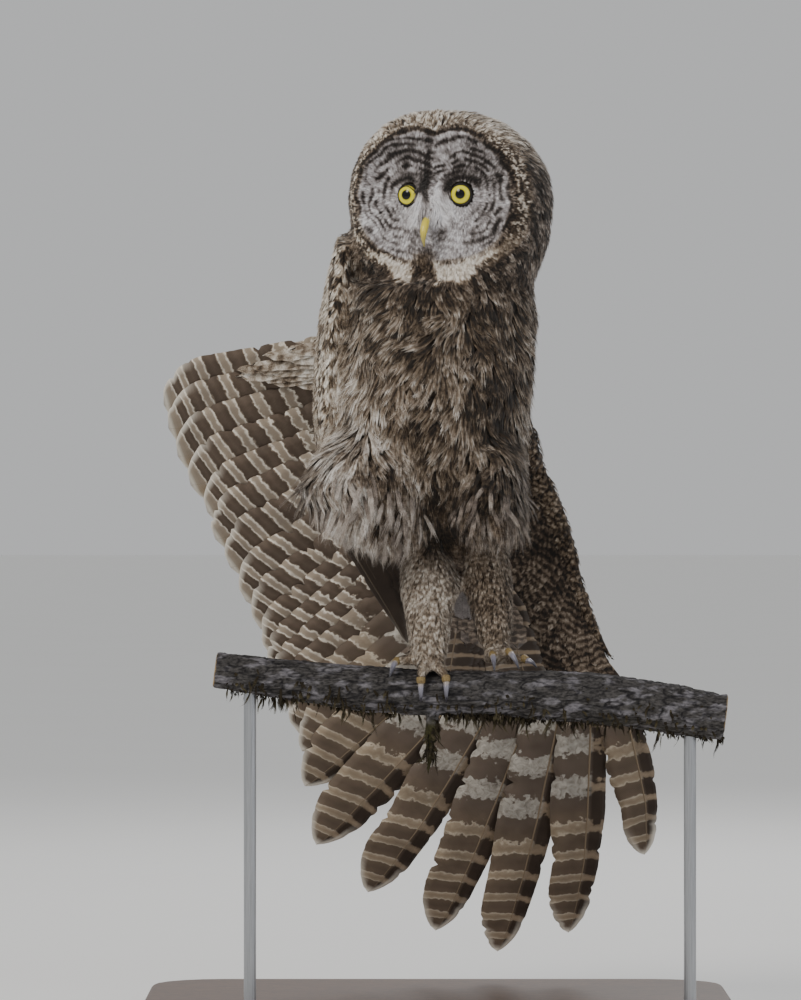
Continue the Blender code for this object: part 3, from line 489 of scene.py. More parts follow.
def bark_finish():
    """Conifer bark: rough, matt, dark grey and cracked, with thin crusts of pale lilac-grey lichen."""
    made, tree = new_finish("conifer_bark", Roughness=0.92, Specular_IOR_Level=0.2)
    place = add(tree, "TexCoord", {}, "Object")
    drawn = add(tree, "Mapping", {"Vector": place, "Scale": (0.42, 1, 1)})
    rough = add(tree, "TexNoise", {"Vector": drawn, "Scale": 1 / 0.0017, "Detail": 6.0}, "Fac")
    rough = add(tree, "MapRange", {"Value": rough, "From Min": 0.28, "From Max": 0.72})
    bark = add(tree, "Mix", {"data_type": "RGBA", 0: rough, 6: "#1f1d1d", 7: "#5b5856"}, 2)
    crust = add(tree, "TexNoise", {"Vector": drawn, "Scale": 1 / 0.0080, "Detail": 8.0}, "Fac")
    crust = add(tree, "MapRange", {"Value": crust, "From Min": 0.51, "From Max": 0.61, "To Max": 0.60})
    lichen = add(tree, "Mix", {"data_type": "RGBA", 0: rough, 6: "#6b686c", 7: "#a09da3"}, 2)
    colour = add(tree, "Mix", {"data_type": "RGBA", 0: crust, 6: bark, 7: lichen}, 2)
    # The cracks: darker bark, with painted shade down in them
    crack = add(tree, "Attribute", {"attribute_name": "crack"}, "Fac")
    colour = add(tree, "Mix", {"data_type": "RGBA", 0: crack, 6: colour, 7: "#161518"}, 2)
    olive = add(tree, "TexNoise", {"Vector": place, "Scale": 1 / 0.0014, "Detail": 3.0}, "Fac")
    moss = add(tree, "Mix", {"data_type": "RGBA", 0: olive, 6: "#16140d", 7: "#4a472c"}, 2)
    mossy = add(tree, "Attribute", {"attribute_name": "moss"}, "Fac")
    colour = add(tree, "Mix", {"data_type": "RGBA", 0: mossy, 6: colour, 7: moss}, 2)
    # Growth rings about 1 mm apart on the sawn ends
    ring = add(tree, "Attribute", {"attribute_name": "ring"}, "Fac")
    ring = add(tree, "Math", {"operation": "MULTIPLY", 0: ring, 1: 900.0})
    ring = add(tree, "CombineXYZ", {"X": ring})
    ring = add(tree, "TexNoise", {"Vector": ring, "Scale": 1.0, "Detail": 2.0}, "Fac")
    wood = add(tree, "Mix", {"data_type": "RGBA", 0: ring, 6: "#8d7049", 7: "#d8bd8e"}, 2)
    sawn = add(tree, "Attribute", {"attribute_name": "sawn"}, "Fac")
    colour = add(tree, "Mix", {"data_type": "RGBA", 0: sawn, 6: colour, 7: wood}, 2)
    relief = add(tree, "Bump", {"Height": rough, "Distance": 0.0009, "Strength": 0.8})
    return finished(made, Base_Color=colour, Normal=relief)


def moss_finish():
    """Hanging moss and beard lichen: dry, matt, brown to olive threads."""
    made, tree = new_finish("dry_moss", Roughness=0.9, Specular_IOR_Level=0.2)
    place = add(tree, "TexCoord", {}, "Object")
    fleck = add(tree, "TexNoise", {"Vector": place, "Scale": 1 / 0.002, "Detail": 2.0}, "Fac")
    tone = add(tree, "Attribute", {"attribute_name": "tone"}, "Fac")
    shade = add(tree, "Math", {"operation": "MULTIPLY_ADD", 0: fleck, 1: 0.5, 2: tone})
    shade = add(tree, "Math", {"operation": "SUBTRACT", 0: shade, 1: 0.25})
    colour = add(tree, "ValToRGB", {"Fac": shade, "stops": (
        (0.0, "#14110c"), (0.35, "#2e281d"), (0.65, "#544d38"), (1.0, "#8f8a6e"),
    )})
    return finished(made, Base_Color=colour)


def wood_finish():
    """Oiled walnut, planed and sanded: satin, brown with darker lines of growth along the board."""
    made, tree = new_finish("oiled_walnut", Roughness=0.42, Coat_Weight=0.15, Coat_Roughness=0.3)
    place = add(tree, "TexCoord", {}, "Object")
    board = add(tree, "Mapping", {"Vector": place, "Scale": (1, 6, 6)})
    bands = add(tree, "TexNoise", {"Vector": board, "Scale": 1 / 0.060, "Detail": 3.0}, "Fac")
    bands = add(tree, "Math", {"operation": "MULTIPLY", 0: bands, 1: 9.0})
    bands = add(tree, "Math", {"operation": "FRACT", 0: bands})
    drawn = add(tree, "Mapping", {"Vector": place, "Scale": (0.06, 1, 1)})
    pores = add(tree, "TexNoise", {"Vector": drawn, "Scale": 1 / 0.0022, "Detail": 2.0}, "Fac")
    tone = add(tree, "Math", {"operation": "MULTIPLY", 0: bands, 1: 0.5})
    tone = add(tree, "Math", {"operation": "MULTIPLY_ADD", 0: pores, 1: 0.6, 2: tone})
    colour = add(tree, "ValToRGB", {"Fac": tone, "stops": (
        (0.1, "#7b5a3f"), (0.5, "#5f4330"), (0.9, "#3a281c"))})
    relief = add(tree, "Bump", {"Height": pores, "Distance": 0.0003, "Strength": 0.4})
    return finished(made, Base_Color=colour, Normal=relief)


def steel_finish():
    """Brushed stainless steel rod: bright metal with fine drawn lines along it."""
    made, tree = new_finish("brushed_steel", Metallic=1.0, Roughness=0.34)
    place = add(tree, "TexCoord", {}, "Object")
    drawn = add(tree, "Mapping", {"Vector": place, "Scale": (1, 1, 0.02)})
    lines = add(tree, "TexNoise", {"Vector": drawn, "Scale": 1 / 0.0006, "Detail": 2.0}, "Fac")
    colour = add(tree, "Mix", {"data_type": "RGBA", 0: lines, 6: "#8d8f92", 7: "#c3c5c8"}, 2)
    relief = add(tree, "Bump", {"Height": lines, "Distance": 0.0001, "Strength": 0.3})
    return finished(made, Base_Color=colour, Normal=relief)


def pad_finish():
    """Bare toe skin: leathery, ochre yellow, with small hard scales."""
    made, tree = new_finish("toe_scale_skin", Roughness=0.5, Specular_IOR_Level=0.4)
    place = add(tree, "TexCoord", {}, "Object")
    scales = add(tree, "TexVoronoi", {"Vector": place, "Scale": 900.0}, "Distance")
    colour = add(tree, "Mix", {"data_type": "RGBA", 0: scales, 6: "#9a8454", 7: "#665539"}, 2)
    relief = add(tree, "Bump", {"Height": scales, "Distance": 0.0004, "Strength": 0.6, "invert": True})
    return finished(made, Base_Color=colour, Normal=relief)


def floor_finish():
    """Plain pale studio floor: matt painted board with a barely visible unevenness."""
    made, tree = new_finish("studio_floor", Roughness=0.9, Specular_IOR_Level=0.1)
    place = add(tree, "TexCoord", {}, "Object")
    cloud = add(tree, "TexNoise", {"Vector": place, "Scale": 1 / 0.4, "Detail": 2.0}, "Fac")
    colour = add(tree, "Mix", {"data_type": "RGBA", 0: cloud, 6: "#f7f6f4", 7: "#f9f9f7"}, 2)
    return finished(made, Base_Color=colour)


# Skin

def make_skin():
    """Joins the flesh solids in one smooth surface and draws it in by the coat's depth."""
    bridge = {name: FINE_BRIDGE if name in FINE_PARTS else BRIDGE for name in FLESH + PLUGS}
    joined, points, edges = one_surface(bridge, SKIN_GRID, SKIN_ROUNDS)
    weights = part_weights(points)
    place = in_face(points)
    face = face_mask(place) * weights["head"]
    fine = (face_mask(place, RUFF_SHARE, RUFF_DEPTH) * weights["head"])[:, None]
    size = sum(weights[part][:, None] * np.array(COAT[part]) for part in FLESH)
    size = size * (1 - fine) + np.array(FACE_COAT) * fine
    joined.vertices.foreach_set("co", points.ravel())
    joined.update()
    normals = unit(evened(read(joined.vertices, "normal"), edges, 3))
    bridged = sum(weights[part] * bridge[part] for part in FLESH)
    points = points - normals * (size[:, :1] + bridged[:, None])
    points = evened(points, edges, 2)
    joined.vertices.foreach_set("co", points.ravel())
    joined.polygons.foreach_set("use_smooth", np.ones(len(joined.polygons), bool))
    joined.update()
    return put("owl_skin", joined), points, normals, weights, face, size


def one_surface(grown, grid, rounds):
    """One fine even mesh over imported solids, each grown first by its own amount."""
    work = bmesh.new()
    for name, by in grown.items():
        part = bmesh.new()
        part.from_mesh(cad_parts[name].data)
        bmesh.ops.remove_doubles(part, verts=part.verts[:], dist=0.000001)
        part.normal_update()
        for vertex in part.verts:
            vertex.co += vertex.normal * by
        mesh = bpy.data.meshes.new("part")
        part.to_mesh(mesh)
        part.free()
        work.from_mesh(mesh)
        bpy.data.meshes.remove(mesh)
    mesh = bpy.data.meshes.new("draft")
    work.to_mesh(mesh)
    work.free()
    draft = put("draft", mesh)
    step = draft.modifiers.new("one surface", "REMESH")
    step.mode = "VOXEL"
    step.voxel_size = grid
    graph = bpy.context.evaluated_depsgraph_get()
    joined = bpy.data.meshes.new_from_object(draft.evaluated_get(graph))
    bpy.data.objects.remove(draft, do_unlink=True)
    edges = read(joined.edges, "vertices", 2, np.int64)
    return joined, evened(read(joined.vertices, "co"), edges, rounds), edges


def evened(values, edges, rounds):
    """Values of each point drawn half way to the mean of its neighbours, so many times."""
    count = len(values)
    for _ in range(rounds):
        total = np.zeros_like(values)
        for axis in range(values.shape[1]):
            total[:, axis] = np.bincount(edges[:, 0], values[edges[:, 1], axis], count)
            total[:, axis] += np.bincount(edges[:, 1], values[edges[:, 0], axis], count)
        links = np.bincount(edges.ravel(), minlength=count)[:, None]
        values = 0.5 * values + 0.5 * total / np.maximum(links, 1)
    return values


def part_weights(points):
    """How much each flesh solid has a say at each point: one near it, none well away from it."""
    shares = {}
    for name in FLESH:
        corners, triangles = solid_mesh(name)
        tree = BVHTree.FromPolygons(corners.tolist(), triangles.tolist())
        away = np.array([tree.find_nearest(p)[3] for p in points.tolist()])
        shares[name] = np.exp(-away / BLEND)
    total = sum(shares.values())
    return {name: share / total for name, share in shares.items()}


def face_mask(place, reach=1.0, deep=0.012):
    """1 inside the facial disc, or this share of it, and 0 outside or further back."""
    front = 1 - smooth_step(deep - 0.006, deep + 0.006, place[:, 1])
    return front * (1 - smooth_step(reach - 0.06, reach + 0.04, disc_share(place)))


# Flight feathers: outlines measured on the solids

def measure(name, thin, stations):
    """Left and right edge of a feather's solid at places from root to tip, as seen along thin."""
    points, triangles = solid_mesh(name)
    middle = points.mean(0)
    long_way = np.linalg.svd(points - middle, full_matrices=False)[2][0]
    ends = [points[np.argmax(points @ long_way)], points[np.argmin(points @ long_way)]]
    if np.linalg.norm(ends[0] - ROOTS_NEAR[name]) < np.linalg.norm(ends[1] - ROOTS_NEAR[name]):
        long_way = -long_way
    over = unit(np.cross(long_way, thin))
    along = points @ long_way
    low, high = along.min(), along.max()
    edges = np.concatenate((triangles[:, (0, 1)], triangles[:, (1, 2)], triangles[:, (2, 0)]))
    left, right = [], []
    for share in np.linspace(0.004, 0.996, stations):
        at = low + (high - low) * share
        a, b = along[edges[:, 0]], along[edges[:, 1]]
        crossing = (a - at) * (b - at) < 0
        a, b = a[crossing], b[crossing]
        part = ((at - a) / (b - a))[:, None]
        met = points[edges[crossing, 0]] * (1 - part) + points[edges[crossing, 1]] * part
        reach = met @ over
        left.append(met[np.argmin(reach)])
        right.append(met[np.argmax(reach)])
    return np.array(left), np.array(right)


SECONDARIES = [f"secondary_left_{k:02d}" for k in range(12, 0, -1)]
PRIMARIES = [f"primary_left_{k:02d}" for k in range(1, 11)]
TAIL = ("tail_feathers_right", "tail_feathers_centre", "tail_feathers_left")
HAND = centre("hand_left")
ROOTS_NEAR = {name: HAND for name in SECONDARIES + PRIMARIES}
FOLDED = "wing_right_primaries"
ROOTS_NEAR.update({name: centre("trunk") for name in TAIL + (FOLDED,)})
# The way that the tail's upper side faces, and the way to the viewer
TAIL_UP = np.array((0.0, 0.53, 0.85))
VIEWED = (0.0, -1.0, 0.0)
# Share of the whole width that the inner vane takes, from the innermost primary to the outermost
INNER_SHARES = (0.60, 0.61, 0.62, 0.65, 0.67, 0.68, 0.69, 0.69, 0.68, 0.68)
# Feathers in the tail and showing on the folded wing, and primaries that still have round tips
TAIL_COUNT = 12
FOLDED_COUNT = 5
ROUND_PRIMARIES = 2
# Half the thickness of a vane at its shaft, and how wide a split in its edge is
VANE_HALF = 0.00030
SPLIT_WIDE = 0.0016
# The pale rim fades over these distances from the edge and from the tip
RIM_WIDE = (0.0018, 0.0066)
RIM_LONG = (0.016, 0.045)
# Kinds of flight feather. A tip is so many vane widths long, bends in so strongly, and reaches
# this much further along the outer vane. The rest are the inner vane's share of the width, how plain
# the bars are, how strong the pale rim is, how uneven the edges are and how dark the whole vane is.
# On the folded wing that darkness is painted shade
ROUND_TIP = (1.15, 0.48, 1.0)
POINTED_TIP = (1.7, 0.72, 2.0)
SECONDARY = {
    "inner": 0.59, "bars": SECONDARY_BARS, "soft": 0.0, "rim": 1.0, "tip": ROUND_TIP,
    "facing": VIEWED, "uneven": 1.0, "dark": 0.0,
}
PRIMARY = {
    "inner": 0.67, "bars": PRIMARY_BARS, "soft": 1.0, "rim": 1.0, "tip": POINTED_TIP,
    "facing": VIEWED, "uneven": 1.2, "dark": 0.0,
}
TAIL_FEATHER = {
    "inner": 0.52, "bars": SECONDARY_BARS, "soft": 0.55, "rim": 0.4, "tip": ROUND_TIP,
    "facing": tuple(-TAIL_UP), "uneven": 1.4, "dark": 0.50,
}
# The folded wing's feathers: painted shade under the body makes them nearly black all over, barless and with
# a dim shaft
FOLDED_FEATHER = {
    "inner": 0.22, "bars": SHADED_NO_BARS, "soft": 1.0, "rim": 0.1, "tip": POINTED_TIP,
    "facing": VIEWED, "uneven": 0.6, "dark": 1.0,
}


def resampled(rows, places):
    """Rows of evenly placed points, read off at other places from 0 to 1."""
    known = np.linspace(0, 1, len(rows))
    return np.stack([np.interp(places, known, rows[:, axis]) for axis in range(3)], 1)


def half_vane(shaft, edge, reach, places, length, kind, own_chance):
    """Way out and width of one half of a vane: narrowed to its tip, with an uneven, split edge."""
    wide = np.linalg.norm(edge - shaft, axis=1)
    begin = 1 - reach * np.interp(0.80, places, wide) / length
    full = np.interp(begin, places, wide)
    past = np.clip((places - begin) / (1 - begin), 0, 1)
    kept = np.where(places > begin, full * (1 - past**2) ** kind["tip"][1], wide)
    rough = 1 + 0.018 * (own_chance.random(len(places)) - 0.5) * kind["uneven"]
    for at in own_chance.uniform(0.35, 0.97, int(7 * kind["uneven"])):
        deep = own_chance.uniform(0.05, 0.22)
        rough -= deep * np.exp(-np.abs(places - at) * length / SPLIT_WIDE)
    return unit(edge - shaft + 1e-9), np.maximum(kept * np.clip(rough, 0.1, 1.1), 0.0002)


def vane_feather(name, left, right, kind, hides, seed=0):
    """One flight feather between two edges: a thin closed vane with a raised shaft and split edges."""
    stations, columns = 96, 9
    own_chance = np.random.default_rng(seed + 100)
    places = np.linspace(0, 1, stations)
    left, right = resampled(left, places), resampled(right, places)
    shaft = left + (right - left) * kind["inner"]
    length = np.linalg.norm(np.diff(shaft, axis=0), axis=1).sum()
    tip_long, _, outer_reach = kind["tip"]
    sides = [
        half_vane(shaft, edge, reach, places, length, kind, own_chance)
        for edge, reach in ((left, tip_long), (right, tip_long * outer_reach))
    ]
    way = unit(np.gradient(shaft, axis=0))
    up = unit(np.cross(sides[1][0], way))
    if up[stations // 2] @ np.array(kind["facing"]) < 0:
        up = -up
    across = np.linspace(-1, 1, columns)
    rows, values = [], {key: [] for key in ("from_tip", "across", "barb")}
    for layer in (1, -1):
        for k in range(columns):
            side, wide = sides[0] if across[k] < 0 else sides[1]
            reach = wide * abs(across[k])
            thick = VANE_HALF * (1 - 0.6 * abs(across[k])) * layer
            sweep = way * (reach * 0.10 * places * (1 - places**12))[:, None]
            rows.append(shaft + side * reach[:, None] + sweep + up * (thick - 0.03 * reach[:, None]))
            values["from_tip"].append((1 - places) * length + 0.10 * reach)
            values["across"].append(np.full(stations, across[k]))
            values["barb"].append(places * length - reach * 0.9)
    rows = np.array(rows).transpose(1, 0, 2)
    values = {key: np.array(value).T for key, value in values.items()}
    ring = list(range(columns)) + list(range(2 * columns - 1, columns - 1, -1))
    rows = rows[:, ring]
    values = {key: value[:, ring] for key, value in values.items()}
    count = len(ring)
    faces = grid_faces(stations, count, closed=True)
    ends = [np.array([[c, c + 1, count - 2 - c, count - 1 - c] for c in range(columns - 1)])]
    ends.append(ends[0][:, ::-1] + (stations - 1) * count)
    shaft_points, shaft_faces = shaft_tube(shaft, up, sides[1][0], rows.size // 3)
    points = np.concatenate((rows.reshape(-1, 3), shaft_points))
    extra = len(shaft_points)
    flat = {key: np.concatenate((value.ravel(), np.zeros(extra))) for key, value in values.items()}
    wide = np.where(values["across"] < 0, sides[0][1][:, None], sides[1][1][:, None])
    from_edge = np.minimum(wide * (1 - np.abs(values["across"])) + 0.0008, ((1 - places) * length)[:, None])
    rim = (1 - smooth_step(*RIM_WIDE, from_edge)) * (1 - smooth_step(*RIM_LONG, values["from_tip"]))
    flat["rim"] = np.concatenate((kind["rim"] * rim.ravel(), np.zeros(extra)))
    flat["phase"] = np.interp(flat["from_tip"], kind["bars"], np.arange(len(kind["bars"])))
    # On the folded wing the whole vane is dark and the shaft dimmed: painted shade
    flat["outer"] = np.maximum(smooth_step(-0.02, 0.10, flat["across"]), kind["dark"])
    # How near the free edge of the inner vane a point is, where the finish paints light coming through
    flat["free"] = smooth_step(0.30, 1.0, -flat["across"])
    flat["shaft"] = np.concatenate((np.zeros(rows.size // 3), np.full(extra, 1 - 0.75 * kind["dark"])))
    flat["soft"] = np.full(len(points), kind["soft"])
    u = np.where(np.arange(count) < columns, 0.24 + 0.22 * values["across"], 0.76 + 0.22 * values["across"])
    v = np.repeat(0.02 + 0.96 * places[:, None], count, 1)
    shaft_u = np.tile((0.485, 0.495, 0.505, 0.515, 0.515), stations)
    shaft_uv = np.stack((shaft_u, np.repeat(0.02 + 0.96 * places, 5)), 1)
    uv = np.concatenate((np.stack((u, v), 2).reshape(-1, 2), shaft_uv))
    del flat["across"]
    faces = [faces, ends[0], ends[1], shaft_faces]
    return build(name, points, faces, flat, FINISH["vane"], hides, uv)


def shaft_tube(shaft, up, over, first):
    """The feather's shaft: a five-sided tube that stands out below the vane and thins to the tip."""
    stations = len(shaft)
    share = np.linspace(0, 1, stations)
    radius = 0.0010 * (1 - share) ** 0.8 + 0.00022
    points = np.empty((stations, 5, 3))
    for side in range(5):
        turn = math.pi * (0.5 + 2 * side / 5)
        reach = over * math.cos(turn) + up * math.sin(turn)
        points[:, side] = shaft + up * 0.0001 + reach * radius[:, None]
    faces = grid_faces(stations, 5, first, closed=True)
    return points.reshape(-1, 3), faces


# Coat: tufts of barbs that lie along the skin

def wing_ways():
    """Root and way of each flight feather of the spread wing, for the lie of the coat on its arm."""
    roots, ways = [], []
    for name in SECONDARIES + PRIMARIES:
        left, right = EDGES[name]
        middle = (left + right) / 2
        roots.append(middle[0])
        ways.append(unit(middle[-1] - middle[0]))
    return np.array(roots), np.array(ways)


def lie_of_coat(points, normals, weights, face):
    """Direction in which the coat lies at each point of the skin."""
    place = in_face(points)
    down = np.array((0.0, 0.0, -1.0))
    side = np.sign(points[:, :1] - centre("trunk")[0])
    front = (points[:, 1:2] < centre("trunk")[1]).astype(float)
    spread = np.where(side < 0, 0.16, 0.03)
    body = down + np.concatenate((spread * side * front, 0.12 * (1 - front), np.zeros_like(side)), 1)
    brow = from_face(0, -0.030, -0.012)
    crown = unit(points - brow)
    nape = smooth_step(-0.005, 0.040, place[:, 1])[:, None]
    crown = unit(crown * (1 - nape) + (down + 0.25 * FACE_Y) * nape)
    disc = unit(points - np.where(place[:, :1] > 0, EYES["left"], EYES["right"]))
    head = unit(crown * (1 - face[:, None]) + disc * face[:, None])
    roots, ways = wing_ways()
    arm = np.zeros_like(points)
    for root, way in zip(roots, ways):
        near = np.exp(-np.linalg.norm(points - root, axis=1) / 0.025)[:, None]
        arm += way * near
    arm = unit(arm)
    edges = np.array([EDGES[name] for name in TAIL])
    tail = unit((edges[:, :, -1] - edges[:, :, 0]).sum(1).mean(0))
    folded = unit(np.array((0.05, 0.32, -1.0)))
    foot = {}
    for name in ("foot_right", "foot_left"):
        palm = centre(name) + np.array((0, 0.004, 0.014))
        foot[name] = unit(points - palm)
    own = {
        "head": head, "wing_right": folded, "tail_base": tail, "upper_arm_left": arm,
        "forearm_left": arm, "hand_left": arm, **foot,
    }
    total = sum(weights[name][:, None] * own.get(name, body) for name in FLESH)
    total -= normals * (total * normals).sum(1, keepdims=True)
    return unit(total)


def scatter(points, triangles, spacing):
    """Roots spread evenly over the skin: triangle of each and the weights of its corners."""
    a, b, c = (points[triangles[:, k]] for k in range(3))
    area = np.linalg.norm(np.cross(b - a, c - a), axis=1) / 2
    gap = spacing[triangles].mean(1)
    wanted = area / gap**2
    count = int(3.2 * wanted.sum())
    picked = chance.choice(len(triangles), count, p=wanted / wanted.sum())
    u, v = chance.random(count), chance.random(count)
    over = u + v > 1
    u[over], v[over] = 1 - u[over], 1 - v[over]
    shares = np.stack((1 - u - v, u, v), 1)
    places = (points[triangles[picked]] * shares[:, :, None]).sum(1)
    tree = KDTree(count)
    listed = places.tolist()
    for k, place in enumerate(listed):
        tree.insert(place, k)
    tree.balance()
    free = np.ones(count, bool)
    kept = []
    for k in range(count):
        if free[k]:
            kept.append(k)
            for _, other, _ in tree.find_range(listed[k], 0.74 * gap[picked[k]]):
                free[other] = False
    return picked[kept], shares[kept]


def lay_paths(tree, roots, normals, ways, lengths, loose, stations=5):
    """Points and normals along each tuft, which follows the skin from its root unless it is loose."""
    paths, ups = [roots], [normals]
    at, up, way = roots, normals, ways
    step = (lengths / (stations - 1))[:, None]
    for _ in range(stations - 1):
        ahead = at + way * step
        met, met_up = nearest(tree, ahead)
        met_up = unit(0.5 * met_up + 0.5 * up)
        at = met * (1 - loose) + ahead * loose
        up = unit(met_up * (1 - loose) + up * loose)
        flat = way - up * (way * up).sum(1, keepdims=True)
        way = unit(unit(flat) * (1 - loose) + unit(way + np.array((0, 0, -0.10))) * loose)
        paths.append(at)
        ups.append(up)
    return np.stack(paths, 1), np.stack(ups, 1)


def along_path(paths, share):
    """Points of each path at shares of its length, past its end too."""
    count = paths.shape[1]
    place = share * (count - 1)
    k = np.clip(np.floor(place).astype(int), 0, count - 2)
    part = (place - k)[..., None]
    row = np.arange(len(paths)).reshape(-1, *([1] * (share.ndim - 1)))
    a, b = paths[row, k], paths[row, k + 1]
    return a * (1 - part) + b * part, unit(b - a)


def on_map(uv):
    """Places kept just inside the map's square."""
    return np.clip(uv, 0.0005, 0.9995)


def tuft_piece(name, tufts, strands, stations, looks, finish="plumage"):
    """Many tufts as one mesh. Each is a fan of thin pointed barbs over the skin."""
    count = len(tufts["root"])
    offset = np.linspace(-1, 1, strands) + chance.uniform(-0.5, 0.5, (count, strands)) / strands
    reach = 1 - 0.34 * offset**2 + chance.uniform(-0.13, 0.13, (count, strands))
    share = np.linspace(0, 1, stations) * reach[:, :, None]
    middle, way = along_path(tufts["path"], share)
    up, _ = along_path(tufts["up"], np.clip(share, 0, 1))
    up = unit(up)
    over = unit(np.cross(up, way))
    wide = tufts["width"][:, None, None]
    deep = tufts["depth"][:, None, None]
    side = wide / 2 * offset[:, :, None] * (0.25 + 0.75 * np.clip(share, 0, 1) ** 0.7)
    lift = deep * (0.10 + 0.90 * np.clip(share, 0, 1.1) ** 0.75)
    lift -= 0.11 * wide * offset[:, :, None] ** 2 * share
    lift += tufts["stand"][:, None, None] * share**2 * tufts["length"][:, None, None]
    lift += chance.uniform(-0.12, 0.12, (count, strands, 1)) * deep * share
    middle = middle + over * side[..., None] + up * lift[..., None]
    roll = chance.uniform(-0.28, 0.28, (count, strands, 1)) - 0.4 * offset[:, :, None]
    edge = over * np.cos(roll)[..., None] + up * np.sin(roll)[..., None]
    half = (0.64 * tufts["width"] / strands)[:, None, None] * (1 - np.linspace(0, 1, stations) ** 2.6)
    left = middle - edge * half[..., None]
    right = middle + edge * half[..., None]
    pairs = np.stack((left[:, :, :-1], right[:, :, :-1]), 3).reshape(count, strands, -1, 3)
    points = np.concatenate((pairs, middle[:, :, -1:]), 2)
    each = points.shape[2]
    along = np.concatenate((np.repeat(share[:, :, :-1], 2, 2), share[:, :, -1:]), 2)
    swing = np.tile((-1.0, 1.0), stations - 1)
    across = offset[:, :, None] + np.concatenate((swing, (0,))) * 0.6 / strands
    strand_first = (np.arange(count * strands) * each)[:, None, None]
    quad = np.array([(2 * k, 2 * k + 1, 2 * k + 3, 2 * k + 2) for k in range(stations - 2)])
    point = np.array([[each - 3, each - 2, each - 1]])
    faces = [(strand_first + quad).reshape(-1, 4), (strand_first + point).reshape(-1, 3)]
    who = np.repeat(np.arange(count), strands * each)
    flat = points.reshape(-1, 3)
    values = looks(tufts, who, flat, along.ravel(), across.ravel())
    uv = tufts["uv"][who] + PATCH * np.stack((0.42 * across.ravel(), 0.8 * (along.ravel() - 0.5)), 1)
    return build(name, flat, faces, values, FINISH[finish], (), on_map(uv))


# Markings

# How feathers look by region: strength of the dark streak along the middle, of the pale edges and of
# the fine bars, then how cool the colour is, and how much colder it gets where it is paler
REGION_LOOKS = {
    "body": (0.30, 0.30, 0.035, 0.04, 0.45),
    "thighs": (0.20, 0.20, 0.080, 0.12, 0.45),
    "legs": (0.05, 0.00, 0.150, 0.08, 0.15),
    "feet": (0.00, 0.00, 0.000, 0.00, 0.00),
    "arm": (0.00, 0.00, 0.200, 0.00, 0.00),
    "rump": (0.00, 0.00, 0.160, 0.00, 0.00),
    "crown": (0.22, 0.34, 0.000, 0.01, 0.20),
    "head_side": (0.00, 0.24, 0.100, 0.25, 0.20),
    "folded_wing": (0.12, 0.25, 0.080, 0.00, 0.00),
    "pale_strip": (0.12, 0.25, 0.000, 0.00, 0.00),
}


def coat_regions(zones, root):
    """How far each tuft belongs to each region of the coat."""
    crown = smooth_step(0.015, 0.050, in_face(root)[:, 2])
    strip_x = np.interp(root[:, 2], STRIP_HEIGHTS, STRIP_PLACES)
    strip = 1 - smooth_step(0.0095, 0.0130, np.abs(root[:, 0] - strip_x))
    strip *= 1 - smooth_step(-0.014, 0.010, root[:, 1] - centre("trunk")[1])
    return {
        "body": zones["trunk"] + zones["neck"],
        "thighs": zones["thigh_right"] + zones["thigh_left"],
        "legs": zones["leg_right"] + zones["leg_left"],
        "feet": zones["foot_right"] + zones["foot_left"],
        "arm": zones["upper_arm_left"] + zones["forearm_left"] + zones["hand_left"],
        "rump": zones["tail_base"],
        "crown": zones["head"] * crown,
        "head_side": zones["head"] * (1 - crown),
        "folded_wing": zones["wing_right"] * (1 - strip),
        "pale_strip": zones["wing_right"] * strip,
    }


def region_tones(root, pick, back, shaded_left_leg):
    """Tone of each tuft as a feather of each region: patches of several sizes, and its own share."""
    place = in_face(root)
    aside = root[:, 0] - centre("trunk")[0]
    own = pick - 0.5
    fine = patches(root, 0.0042, 2)
    cloud = patches(root, (0.0095, 0.0095, 0.0140), 1)
    broad = noise(root, (0.035, 0.035, 0.050), 3) - 0.5
    # Painted shade darkens the breast where it parts above the legs. It is paler on the flanks, most on the
    # right
    parting_shade = np.exp(-(((root[:, 0] - 0.003) / 0.009) ** 2))
    parting_shade *= 1 - smooth_step(HEM + 0.005, HEM + 0.040, root[:, 2])
    flank = smooth_step(0.045, 0.070, np.abs(aside)) * (1 - smooth_step(0.500, 0.590, root[:, 2]))
    right_flank = smooth_step(0.026, 0.056, -aside) * (1 - smooth_step(0.540, 0.590, root[:, 2]))
    breast = 0.385 + 0.14 * fine + 0.26 * broad + 0.42 * own + 0.24 * cloud - 0.36 * parting_shade
    breast += 0.12 * flank + 0.26 * right_flank
    rear = 0.37 + 0.12 * fine + 0.22 * own + 0.16 * cloud
    body = breast * (1 - back) + rear * back
    nape = smooth_step(0.020, 0.060, place[:, 1])
    return {
        "body": body,
        "thighs": body,
        # The left leg is painted darker: painted shade
        "legs": 0.65 + 0.16 * fine + 0.26 * own - 0.22 * shaded_left_leg,
        "feet": 0.62 + 0.26 * fine + 0.30 * own,
        "arm": 0.34 + 0.20 * fine + 0.15 * own,
        "rump": 0.42 + 0.24 * fine,
        "crown": 0.79 + 0.30 * fine + 0.66 * own,
        "head_side": 0.22 + 0.15 * nape + (0.46 - 0.20 * nape) * patches(root, 0.0052, 4) + 0.44 * own,
        "folded_wing": 0.44 + 0.24 * fine + 0.20 * own + 0.34 * (1 - back),
        "pale_strip": 1.05 + 0.30 * own,
    }


